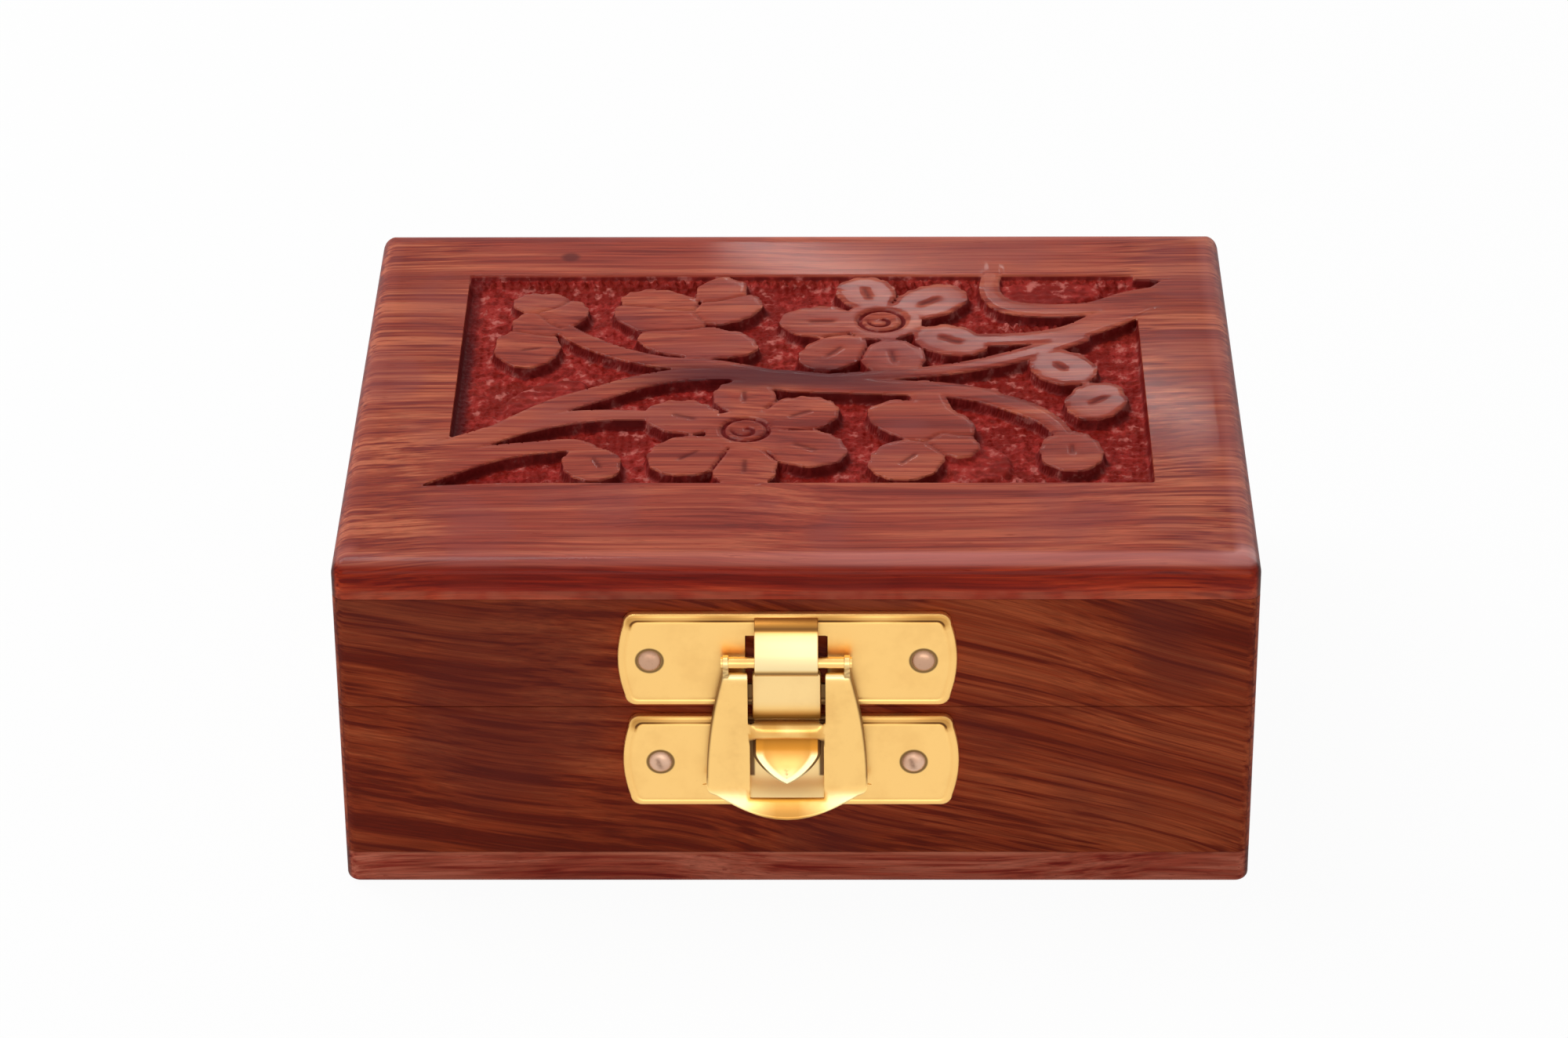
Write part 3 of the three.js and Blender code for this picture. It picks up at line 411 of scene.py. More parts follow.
def wood_material(name, light, middle, dark, turn=(0, 0, 0), shift=(0, 0, 0), lean=0.0,
                  shortness=1.0):
    """Varnished rosewood: the rosewood group on object coordinates, turned so that its X
    runs along the piece's grain, under a thin coat of varnish."""
    made, tree, shader, place = new_finish(name)
    grain = node(tree, "ShaderNodeMapping", place, shift, np.radians(turn).tolist())
    figure = node(tree, "ShaderNodeGroup", settings={"node_tree": rosewood},
                  Vector=grain.outputs[0], Lean=lean, Light=light, Middle=middle, Dark=dark,
                  Shortness=shortness).outputs
    tree.links.new(figure["Color"], shader.inputs["Base Color"])
    tree.links.new(sums(tree, "ADD", figure["Shine"], 0.5), shader.inputs["Roughness"])
    bump = node(tree, "ShaderNodeBump", Strength=0.35, Distance=GRAIN_RELIEF,
                Height=figure["Height"])
    tree.links.new(bump.outputs[0], shader.inputs["Normal"])
    shader.inputs["Specular IOR Level"].default_value = WOOD_GLOSS
    shader.inputs["Coat Weight"].default_value = VARNISH
    shader.inputs["Coat Roughness"].default_value = VARNISH_ROUGHNESS
    return made


def opened(material):
    """A material's tree, object coordinates and colour, for another layer on the colour."""
    tree = material.node_tree
    place = node(tree, "ShaderNodeTexCoord").outputs["Object"]
    colour = tree.nodes["Principled BSDF"].inputs["Base Color"].links[0].from_socket
    return tree, place, colour


def recolour(tree, colour):
    """The colour goes to the tree's shader."""
    tree.links.new(colour, tree.nodes["Principled BSDF"].inputs["Base Color"])


def product(tree, *wires):
    """Numbers multiplied together, one after the other."""
    result = wires[0]
    for wire in wires[1:]:
        result = sums(tree, "MULTIPLY", result, wire)
    return result


def tint_between(material, start, full, hold, end, share, tint):
    """A paler or darker line along a joint: the colour is mixed with the tint between two
    heights in millimetres, smoothly at both. A pale tint is a painted highlight where the
    joint's edge catches the light, and noise breaks the line up."""
    tree, place, colour = opened(material)
    z = sums(tree, "MULTIPLY", node(tree, "ShaderNodeSeparateXYZ", place).outputs[2], 1000.0)
    wear_and_painted_light = eased(tree, noise(tree, place, 260.0, 2.0), 0.3, 0.6, 0.25, 1.0)
    line = product(tree, eased(tree, z, start, full), eased(tree, z, end, hold), wear_and_painted_light, share)
    recolour(tree, mixed(tree, line, colour, tint))


inset, rise = edge_round(BOTTOM_EDGE_RADIUS, 6)
lower = [(a, BOTTOM_EDGE_RADIUS - b) for a, b in zip(inset, rise)]
inset, rise = edge_round(BROKEN_EDGE, 4)
upper = [(a, BOTTOM_BOARD - BROKEN_EDGE + b) for a, b in zip(inset, rise)][::-1]
section = [(3.0, 0.0), (1.1, 0.0), *lower, (0.0, 1.1), (0.0, 3.9), *upper, (0.5, BOTTOM_BOARD)]
rings = [at_height(np.concatenate(corner_arcs(a, 8)), z) for a, z in section]
bottom_wood = wood_material("bottom board rosewood", BOTTOM_LIGHT, BOTTOM_MIDDLE, BOTTOM_DARK,
                            shift=(0.02, 0.03, 0.05), shortness=2.6)
# A painted highlight along the board's joint with the walls.
tint_between(bottom_wood, 3.75, 4.0, 4.6, 5.0, 0.45, JOINT_PAINTED_HIGHLIGHT)
piece("bottom_board_dressed", [lofted(np.array(rings))], bottom_wood, "base",
      replaced=["bottom_board"])

# Walls.
# Four hardwood walls each for the base and the lid, mitred at the corners. The base and
# the lid were sawn from one closed box, so the front's grain runs on through the seam.

WALL = 7.0
SEAM = 23.55
SEAM_SHOWN = 0.02
BOARD_BASE = 37.4
HINGE_Y = 38.3
BEVEL_SLOPE = np.tan(np.radians(50))
RIM_EDGE = 0.10
JOINT_EDGE = 0.08
FRONT_LIGHT = (0.385, 0.072, 0.022, 1)
FRONT_MIDDLE = (0.270, 0.036, 0.009, 1)
FRONT_DARK = (0.145, 0.012, 0.003, 1)
FRONT_LEAN = 0.00104
FRONT_PURPLE = (0.120, 0.017, 0.012, 1)
CORNER_PAINTED_SHADE = (0.028, 0.010, 0.009, 1)
END_STATIONS = np.array([0, 2.2, 4.2, 5.6, 6.6, 7.0, 7.25, 7.5, 7.75, 8.0, 8.2, 8.4]) / 8.4


def wall_section(z0, z1, edge0, edge1):
    """Depth and height of points round a wall's section, with quarter rounds on its four
    edges and a point beside each round that keeps the flat faces flat."""
    loops = []
    for depth, z, edge, start in ((0, z0, edge0, 180), (WALL, z0, edge0, 270),
                                  (WALL, z1, edge1, 0), (0, z1, edge1, 90)):
        angle = np.radians(start + np.linspace(0, 90, 5))
        centre = [depth + edge * (1 if depth == 0 else -1), z + edge * (1 if z == z0 else -1)]
        arc = np.column_stack([np.cos(angle), np.sin(angle)]) * edge + centre
        before = arc[0] - 0.2 * np.array([-np.sin(angle[0]), np.cos(angle[0])])
        after = arc[-1] + 0.2 * np.array([-np.sin(angle[-1]), np.cos(angle[-1])])
        loops += [before[None], arc, after[None]]
    return np.concatenate(loops)


def corner_depth(from_end):
    """How far the outer face has turned in at a distance from the wall's end: the corner
    radius less the height of its circle."""
    away = np.clip(CORNER_RADIUS - from_end, 0, CORNER_RADIUS)
    return CORNER_RADIUS - np.sqrt(CORNER_RADIUS**2 - away**2)


def mitred_wall(length, section):
    """A wall's section carried along its length and cut off on the mitres. Each point of
    the section stops where its depth, pushed in by the round corner, equals its distance
    from the end, and the stations crowd towards the ends."""
    depth, z = section.T
    low, high = np.zeros_like(depth), np.full_like(depth, WALL + 1)
    for _ in range(50):
        middle = (low + high) / 2
        turned = corner_depth(middle)
        inside = turned + depth * (1 - turned / WALL) > middle
        low, high = np.where(inside, middle, low), np.where(inside, high, middle)
    end = length / 2 - low
    hold = length / 2 - WALL - 1.5
    away = hold + END_STATIONS * (end - hold)[:, None]
    middle = np.broadcast_to(np.linspace(-hold, hold, 9)[1:-1], (len(depth), 7))
    along = np.concatenate([-away[:, ::-1], middle, away], axis=1).T
    turned = corner_depth(length / 2 - np.abs(along))
    inward = turned + depth[None, :] * (1 - turned / WALL)
    return along, inward, np.broadcast_to(z, along.shape)


def placed_wall(side, section, onto_lid):
    """The wall's points set against its side of the box. On the left and right walls the
    bevel of the back edge lowers every point beyond the hinges' axis."""
    length = BOX_WIDTH if side == "front" else BOX_DEPTH
    along, inward, z = mitred_wall(length, section)
    x, y = {
        "front": (along, inward - BOX_DEPTH / 2),
        "right": (BOX_WIDTH / 2 - inward, along),
        "left": (inward - BOX_WIDTH / 2, -along),
    }[side]
    fall = np.maximum(y - HINGE_Y, 0) * BEVEL_SLOPE
    beyond = y > HINGE_Y
    if onto_lid:
        z = np.where(beyond, np.maximum(z, SEAM + fall), z)
    else:
        z = np.where(beyond, np.minimum(z, SEAM - fall), z)
    return lofted(np.stack([x, y, z], axis=-1))


def clouded(material, scale, low, high, share, tint):
    """Soft clouds of a tint, where a slow noise lies above a level."""
    tree, place, colour = opened(material)
    cloud = eased(tree, noise(tree, place, scale, 2.0), low, high, 0.0, share)
    recolour(tree, mixed(tree, cloud, colour, tint))


def painted_corner_shade(material, share):
    """A dark line painted down the two front corners: painted shade where the rounded corners turn away.
    """
    tree, place, colour = opened(material)
    x, y = node(tree, "ShaderNodeSeparateXYZ", place).outputs[:2]
    line = product(tree, eased(tree, sums(tree, "ABSOLUTE", x), 0.0503, 0.0508, 0.0, share),
                   eased(tree, y, -0.0372, -0.0384))
    recolour(tree, mixed(tree, line, colour, CORNER_PAINTED_SHADE))


front_wood = wood_material("front rosewood", FRONT_LIGHT, FRONT_MIDDLE, FRONT_DARK,
                           lean=FRONT_LEAN)
clouded(front_wood, 42.0, 0.52, 0.66, 0.45, FRONT_PURPLE)
painted_corner_shade(front_wood, 0.75)
painted_corner_shade(bottom_wood, 0.75)
tint_between(front_wood, 22.2, 22.8, 23.5, 23.9, 0.45, FRONT_DARK)
side_wood = wood_material("side rosewood", FRONT_LIGHT, FRONT_MIDDLE, FRONT_DARK,
                          turn=(0, 0, 90), shift=(0.011, 0.0, 0.017), lean=0.0004)
back_wood = wood_material("back rosewood", FRONT_LIGHT, FRONT_MIDDLE, FRONT_DARK,
                          shift=(0.004, 0.021, 0.031), lean=0.0003)
wall_woods = {"front": front_wood, "left": side_wood, "right": side_wood}
base_section = wall_section(BOTTOM_BOARD, SEAM - SEAM_SHOWN, JOINT_EDGE, RIM_EDGE)
lid_section = wall_section(SEAM + SEAM_SHOWN, BOARD_BASE, RIM_EDGE, JOINT_EDGE)
for side, wood in wall_woods.items():
    piece(f"base_{side}_wall_dressed", [placed_wall(side, base_section, False)], wood, "base",
          replaced=[f"base_{side}_wall"])
    piece(f"lid_{side}_wall_dressed", [placed_wall(side, lid_section, True)], wood, "lid",
          replaced=[f"lid_{side}_wall"])


def dress(name, material):
    """A CAD node keeps its shape and takes a material."""
    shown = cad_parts[name]
    if not shown.material_slots:
        shown.data.materials.append(material)
    for place in shown.material_slots:
        place.material = material


for name in ("base_back_wall", "lid_back_wall"):
    dress(name, back_wood)

# Floor lining.
# A piece of red velvet cut to the inside of the base and glued to the bottom board. Its
# pile stands a millimetre, rolls over at the cut edges and lies this way and that.

LINING_HALF_X, LINING_HALF_Y = 43.6, 32.6
LINING_TOP = 5.4
VELVET_DEEP = (0.100, 0.002, 0.004, 1)
VELVET_BRUSHED = (0.210, 0.006, 0.014, 1)
VELVET_SHEEN = (0.9, 0.18, 0.17, 1)


def grid_faces(count, size):
    """Faces between the neighbours of a grid of points, held row by row."""
    row, spot = np.meshgrid(np.arange(count - 1), np.arange(size - 1), indexing="ij")
    first = row * size + spot
    return np.stack([first, first + size, first + size + 1, first + 1], axis=-1)


def pile_sheet(columns=120, rows=90):
    """A low pillow: the height over the board is the pile times the square root of
    one less the 28th power of the distance from the middle, across and along, with slow
    ripples of the pile; its underside is flat."""
    u, v = np.meshgrid(np.sin(np.linspace(-1, 1, columns) * np.pi / 2),
                       np.sin(np.linspace(-1, 1, rows) * np.pi / 2), indexing="ij")
    x, y = u * LINING_HALF_X, v * LINING_HALF_Y
    pile = LINING_TOP - 0.05 - BOTTOM_BOARD
    ripple = 0.04 * np.sin(x * 0.9 + 2 * np.sin(y * 0.21)) * np.sin(y * 0.7 + x * 0.13)
    round_off = np.sqrt(1 - np.abs(u) ** 28) * np.sqrt(1 - np.abs(v) ** 28)
    top = np.stack([x, y, BOTTOM_BOARD + (pile - 0.05 + ripple) * round_off], axis=-1)
    under = np.stack([x, y, np.full_like(x, BOTTOM_BOARD)], axis=-1)
    quads = grid_faces(columns, rows).reshape(-1, 4)
    return [(top.reshape(-1, 3), [quads]), (under.reshape(-1, 3), [quads[:, ::-1]])]


velvet, tree, shader, place = new_finish("red velvet")
brushed = noise(tree, place, 55.0, 3.0, 0.6)
nap = noise(tree, place, 2600.0, 2.0, 0.6)
colour = mixed(tree, eased(tree, brushed, 0.42, 0.62), VELVET_DEEP, VELVET_BRUSHED)
recolour(tree, mixed(tree, eased(tree, nap, 0.35, 0.6, 0.55, 0.0), colour, VELVET_DEEP))
shader.inputs["Roughness"].default_value = 0.9
shader.inputs["Sheen Weight"].default_value = 0.45
shader.inputs["Sheen Roughness"].default_value = 0.35
shader.inputs["Sheen Tint"].default_value = VELVET_SHEEN
bump = node(tree, "ShaderNodeBump", Strength=0.8, Distance=0.0002, Height=nap)
tree.links.new(bump.outputs[0], shader.inputs["Normal"])
lining = piece("velvet_lining", pile_sheet(), velvet, "base", smooth_up_to=60,
               replaced=["floor_lining"])

# Carved top board.
# One rosewood board whose middle is chiselled down around flowers, buds and stems. The
# flat tops are left at the board's own face, their rims are softened with a knife, and
# the ground between them is punched all over and stained a deeper red.

BOX_TOP = 42.0
TOP_EDGE_RADIUS = 2.0
FIELD = {"left": -39.7, "right": 40.2, "front": -22.2, "back": 28.3}
CARVING_DEPTH = 1.3
CHISEL_SLOPE = 0.55
BACK_RISE = 0.60
LOW_LEAF_DROP = 0.6
RIM_SOFTNESS = 0.40
RIM_DROP = 0.08
HAND_WANDER = 0.16
FLOWER_HEART = 4.7
FLOWER_RING = 2.6
RING_DEPTH, SPIRAL_DEPTH, VEIN_DEPTH = 0.50, 0.25, 0.06
HEART_HOLLOW = 0.16
SEAM_DEPTH = 0.40
STEM_ROUNDING = 0.18
LEAF_PITTING = 0.12
CELL = 0.254
MARGIN_CELL = 0.95
CORNER_STEPS = 6
PUNCH_SPACING = 0.92
PUNCH_DEPTH = 0.24
COMB_SPACING = 1.1
COMB_HEIGHT = 0.45
TOP_LIGHT = (0.445, 0.094, 0.047, 1)
TOP_MIDDLE = (0.318, 0.044, 0.023, 1)
TOP_DARK = (0.190, 0.017, 0.010, 1)
END_LIGHT = (0.505, 0.125, 0.058, 1)
END_MIDDLE = (0.300, 0.044, 0.019, 1)
GROUND_RED = (0.345, 0.022, 0.018, 1)
GROUND_DARK = (0.180, 0.004, 0.002, 1)
GROUND_PAINTED_GLINT = (0.560, 0.150, 0.125, 1)
KNOT_DARK_AND_PAINTED_SHADE = (0.068, 0.002, 0.003, 1)
STREAK_GREY = (0.080, 0.003, 0.006, 1)
CLOUD_PURPLE = (0.255, 0.050, 0.046, 1)
EDGE_DEEP_RED = (0.99, 0.36, 0.14, 1)
EDGE_FOOT = (1.22, 0.66, 0.45, 1)
EDGE_PAINTED_HIGHLIGHT = (0.740, 0.250, 0.220, 1)
KNOT = (-0.0278, 0.0331, 0.0420)
TOP_VARNISH = 0.13
EDGE_BEAD = 0.20

# Petals and buds are ellipses: x, y, half length, half width, angle of the length.
PETALS = [
    (-31.9, 10, 4.8, 3.8, 95), (-28.3, 18.3, 3.9, 3.0, 60), (-30.6, 21.1, 3.6, 2.6, 170),
    (-31.0, 15.5, 3.4, 3.0, 90), (-11.9, 11.5, 7.2, 3.9, 168), (-16.4, 17.5, 5.8, 4.0, 155),
    (-16.6, 21.3, 4.8, 3.2, 165), (-9.3, 24.3, 3.5, 3.0, 70), (-8.6, 19.7, 4.6, 3.3, 35),
    (31.1, -14.9, 4.5, 3.6, 90), (34.4, -3.1, 4.6, 3.4, 70), (30.9, 5.1, 4.4, 3.7, 120),
    (-23.2, -17.8, 3.9, 3.3, 105), (14.2, -7.9, 6.6, 4.4, 150), (12.4, -16.8, 4.7, 4.1, 60),
    (17.4, -12.3, 4.2, 2.8, 120),
]
# A knife stroke in each bud: x, y, angle, half length.
BUD_STROKES = [(-22.6, -17.6, 112, 1.7), (12.6, -16.6, 52, 1.9), (31.2, -14.4, 88, 1.3),
               (34.6, -3.0, 40, 1.6), (30.6, 5.2, 125, 1.3), (-31.4, 9.6, 15, 1.6)]
LOW_PETALS = [(20.4, -16.3, 4.6, 4.0, 115), (-29.2, -0.5, 5.6, 2.8, 35), (29.0, 24.5, 7.4, 3.2, 5)]
# Flowers: the middle, then each petal's angle, distance, half length and half width.
FLOWERS = {
    (-5.9, -9.8): [(92, 7.9, 4.0, 3.6), (31, 7.4, 4.5, 3.9), (329, 8.0, 4.8, 4.2),
                   (270, 8.6, 4.6, 3.7), (223, 8.9, 4.8, 4.2), (157, 7.8, 4.5, 3.8)],
    (9.8, 16.7): [(182, 7.2, 4.8, 3.8), (234, 9.7, 4.8, 3.5), (278, 9.2, 4.3, 3.8),
                  (329, 9.5, 4.6, 3.4), (40, 7.6, 4.9, 3.7), (104, 7.2, 4.2, 3.5)],
}
# Stems: points of the middle line, and widths spread evenly along it.
STEMS = [
    ([(-45, -17.9), (-38, -13.1), (-33, -9.7), (-28, -7.4), (-22, -6.3), (-15, -6.5)],
     (5.5, 4, 3.4, 3.2, 2.4, 1.8)),
    ([(-36, -11.3), (-28, -4.3), (-23, -1.1), (-18, 1.9), (-13, 3.4), (-6, 3.6)],
     (2, 3.4, 3.2, 2.9, 2.8, 2.6)),
    ([(-8, 3.8), (-1, 1.9), (5, 1.1), (11, 0.3), (17, -0.3), (22, -1.9)], (2.8, 5, 4.2, 3.4, 3.2, 3.2)),
    ([(20, -1.1), (26, -4.7), (29, -7.9), (31.2, -12.9)], (2.8, 3.2, 2.6, 1.8)),
    ([(-1, 2.7), (-10, 5.8), (-16, 6.5), (-21, 8.7), (-25, 11.7), (-29, 16.1)],
     (2, 2.4, 2.6, 2.8, 2.8, 2.4)),
    ([(-48, -22.4), (-41, -18.3), (-35, -15.4), (-30, -14), (-25, -13.5), (-22.4, -15.9)],
     (7, 5.6, 3.6, 2.7, 2.6, 2)),
    ([(2, 2.3), (13, 3.7), (19, 5.1), (24, 7.1), (28, 9.3), (33, 12.5)], (2, 2.2, 2.4, 2.7, 2.8, 2.6)),
    ([(19, 11.7), (27, 12.3), (32, 13.7), (37, 17.5), (42, 22.1), (47, 25.1)],
     (3, 2.8, 3.4, 4.4, 4.6, 5)),
    ([(46, 23.5), (40, 22.3), (35, 19.9), (29, 19.3), (24.6, 20.5), (22.8, 24.1), (23.4, 30.1)],
     (5, 4, 3, 3.2, 3.2, 2.4, 2)),
    ([(14.6, 0.1), (15.2, -2.9), (16.2, -6.9)], (3.6, 4, 4)),
]
# Slivers of the ground that run out past the field, as corners of triangles.
SLIVERS = [((-42.4, -22.9), (-24.0, -21.5), (-33.5, -15.5)),
           ((43.6, 26.9), (33.0, 27.8), (36.5, 18.1))]
# Patches of the ground that a comb chisel has marked: left, right, front and back.
COMBED = [(-39, 40, 26.6, 28.3), (9, 22, 25.7, 28.3), (24, 35, 14.7, 18.7), (18, 28, -22.2, -19.5)]


def smooth(value, low, high):
    """0 below low, 1 above high, and three squares less two cubes between."""
    t = np.clip((value - low) / (high - low), 0, 1)
    return t * t * (3 - 2 * t)


def bell(value, middle, width):
    """1 at the middle, falling off as e to the power of less the square of the distance
    from it in widths."""
    return np.exp(-(((value - middle) / width) ** 2))


def turned_about(x, y, centre_x, centre_y, degrees):
    """Places along and across a direction, measured from a centre."""
    cos, sin = np.cos(np.radians(degrees)), np.sin(np.radians(degrees))
    along = (x - centre_x) * cos + (y - centre_y) * sin
    across = (y - centre_y) * cos - (x - centre_x) * sin
    return along, across


def inside_ellipse(x, y, ellipse):
    """Distance inside an ellipse, close to its line: one less the ratio f of the point's
    radius to the ellipse's, over the length of the gradient of f."""
    centre_x, centre_y, a, b, degrees = ellipse
    u, v = turned_about(x, y, centre_x, centre_y, degrees)
    ratio = np.sqrt((u / a) ** 2 + (v / b) ** 2) + 1e-9
    slope = np.sqrt((u / a**2) ** 2 + (v / b**2) ** 2) / ratio + 1e-9
    return (1 - ratio) / slope


def smooth_curve(points, count):
    """A centripetal Catmull-Rom curve through the points, as a polyline."""
    points = np.array(points, float)
    padded = np.vstack([2 * points[0] - points[1], points, 2 * points[-1] - points[-2]])
    knots = np.concatenate([[0], np.cumsum(np.linalg.norm(np.diff(padded, axis=0), axis=1) ** 0.5)])
    place = np.linspace(0, len(points) - 1, count)
    k = np.minimum(place.astype(int), len(points) - 2)
    p = [padded[k + j] for j in range(4)]
    t = [knots[k + j][:, None] for j in range(4)]
    s = t[1] + (place - k)[:, None] * (t[2] - t[1])

    def blend(a, b, knot_a, knot_b):
        return ((knot_b - s) * a + (s - knot_a) * b) / (knot_b - knot_a)

    a1, a2, a3 = (blend(p[j], p[j + 1], t[j], t[j + 1]) for j in range(3))
    b1, b2 = blend(a1, a2, t[0], t[2]), blend(a2, a3, t[1], t[3])
    return blend(b1, b2, t[1], t[2])


def inside_stem(x, y, points, widths):
    """Distance inside a stem: half the width at the nearest place on its middle line, less
    the distance to that line."""
    line = smooth_curve(points, 29)
    half = np.interp(np.linspace(0, 1, len(line)), np.linspace(0, 1, len(widths)), widths) / 2
    best = np.full(x.shape, -1e3)
    for start, end, half_start, half_end in zip(line, line[1:], half, half[1:]):
        along = end - start
        share = ((x - start[0]) * along[0] + (y - start[1]) * along[1]) / along.dot(along)
        share = np.clip(share, 0, 1)
        away = np.hypot(x - start[0] - share * along[0], y - start[1] - share * along[1])
        best = np.maximum(best, half_start + share * (half_end - half_start) - away)
    return best


def inside_triangle(x, y, corners):
    """Distance inside a triangle: the least of the distances from its three sides."""
    best = np.full(x.shape, 1e3)
    centre = np.mean(corners, axis=0)
    for (ax, ay), (bx, by) in zip(corners, corners[1:] + corners[:1]):
        nx, ny = ay - by, bx - ax
        scale = np.hypot(nx, ny) * np.sign((centre[0] - ax) * nx + (centre[1] - ay) * ny)
        best = np.minimum(best, ((x - ax) * nx + (y - ay) * ny) / scale)
    return best


def all_petals():
    """Every high petal and bud as an ellipse, those of the flowers set round their hearts."""
    placed = list(PETALS)
    for (x, y), petals in FLOWERS.items():
        for degrees, distance, a, b in petals:
            angle = np.radians(degrees)
            placed.append((x + distance * np.cos(angle), y + distance * np.sin(angle), a, b, degrees))
    return placed


def from_heart(x, y):
    """Distance from the middle of the nearest flower."""
    return np.min([np.hypot(x - middle_x, y - middle_y) for middle_x, middle_y in FLOWERS], axis=0)


def inside_stems(x, y):
    """Distance inside the nearest stem."""
    return np.max([inside_stem(x, y, points, widths) for points, widths in STEMS], axis=0)


def inside_field(x, y):
    """Distance inside the four straight sides of the field."""
    return np.minimum(np.minimum(x - FIELD["left"], FIELD["right"] - x),
                      np.minimum(y - FIELD["front"], FIELD["back"] - y))


def standing(x, y):
    """Distance inside whatever stands at the board's face: petals and hearts, whose lines
    wander with the hand by products of sines, stems, and the margin round the field."""
    best = np.max([inside_ellipse(x, y, ellipse) for ellipse in all_petals()], axis=0)
    best = np.maximum(best, FLOWER_HEART - from_heart(x, y))
    unsteady = np.sin(1.9 * x + 1.3 * np.sin(0.8 * y)) * np.sin(1.7 * y + 1.1 * np.sin(0.9 * x))
    best = np.maximum(best + HAND_WANDER * unsteady, inside_stems(x, y))
    open_to = inside_field(x, y)
    for corners in SLIVERS:
        open_to = np.maximum(open_to, inside_triangle(x, y, corners))
    return np.maximum(best, -open_to)


def scattered(x, y, spacing, seed):
    """Distance to the nearest mark of a jittered square pattern, in units of the spacing."""
    column, row = np.floor(x / spacing), np.floor(y / spacing)
    nearest = np.full(x.shape, 9.0)
    for dx in (-1, 0, 1):
        for dy in (-1, 0, 1):
            c, r = column + dx, row + dy
            mix = np.sin(c * 127.1 + r * 311.7 + seed) * 43758.5453
            other = np.sin(c * 269.5 + r * 183.3 + seed) * 43758.5453
            mark_x = c + 0.5 + 0.5 * (mix - np.floor(mix) - 0.5)
            mark_y = r + 0.5 + 0.5 * (other - np.floor(other) - 0.5)
            nearest = np.minimum(nearest, np.hypot(x / spacing - mark_x, y / spacing - mark_y))
    return nearest


def knife_strokes(x, y):
    """Two sets of strokes from 0 to 1, each a bell across its line. The first is a spiral in
    each heart, whose radius shrinks evenly with the turn. The second holds the spirals again,
    fainter, a vein along the middle of each petal of a flower, and a stroke in each bud."""
    spirals, veins = np.zeros(x.shape), np.zeros(x.shape)
    for (centre_x, centre_y), petals in FLOWERS.items():
        around = (np.degrees(np.arctan2(y - centre_y, x - centre_x)) - 150) % 360
        away = np.hypot(x - centre_x, y - centre_y)
        spiral = bell(away + 0.0044 * around, 1.75, 0.24)
        spiral = spiral * smooth(around, 10, 50) * smooth(around, 330, 270)
        spirals = spirals + spiral
        veins = np.maximum(veins, 0.75 * spiral)
        for degrees, distance, half, _ in petals:
            along, across = turned_about(x, y, centre_x, centre_y, degrees)
            along = along - distance
            length = smooth(along, -0.42 * half, -0.25 * half) * smooth(along, 0.38 * half, 0.2 * half)
            veins = np.maximum(veins, bell(across, 0, 0.30) * length)
    for centre_x, centre_y, degrees, half in BUD_STROKES:
        along, across = turned_about(x, y, centre_x, centre_y, degrees)
        length = smooth(np.abs(along), half, 0.5 * half)
        veins = np.maximum(veins, bell(across, 0, 0.24) * length)
    return spirals, veins


def comb_marks(x, y):
    """Ridges from 0 to 1 in the combed patches: the upper part of a cosine wave along a
    slanting line, fading at each patch's four sides."""
    combed = np.zeros(x.shape)
    for left, right, front, back in COMBED:
        patch = smooth(x, left - 0.4, left + 0.4) * smooth(x, right + 0.4, right - 0.4)
        patch *= smooth(y, front - 0.4, front + 0.4) * smooth(y, back + 0.4, back - 0.4)
        combed = np.maximum(combed, patch)
    wave = 0.5 + 0.5 * np.cos(2 * np.pi * (x + 0.35 * y) / COMB_SPACING)
    return combed * smooth(wave, 0.45, 0.9)


def cut_shade(x, y, stand, fronting, leaf):
    """Painted shade beside each cut, widest where the cut faces front and with an edge that
    wanders by sines, and more of it along the field's left side and in its left back
    corner."""
    wander = 0.80 + 0.20 * np.sin(1.9 * x + 1.6 * np.sin(1.3 * y))
    wander = wander + 0.15 * np.sin(3.1 * y + 2.0 * np.sin(0.9 * x))
    reach = wander * (0.50 + 0.35 * np.clip(fronting, 0, 1))
    reach = reach * (1 - 0.45 * smooth(y, FIELD["back"] - 2.4, FIELD["back"] - 1.2))
    beside = smooth(-stand / reach, 1.45, 0.50) * (1 - 0.6 * leaf)
    left = smooth(x, FIELD["left"] + 1.2 + 1.2 * wander, FIELD["left"] + 1.0)
    left = left * (0.70 + 0.30 * smooth(np.abs(y - 1.0), 17.0, 9.0))
    from_corner = np.hypot(x - FIELD["left"], 0.8 * (y - FIELD["back"]))
    corner = smooth(from_corner, 2.2 + 2.4 * wander, 1.0)
    return np.maximum(0.68 * beside, np.maximum(left, 0.75 * corner))


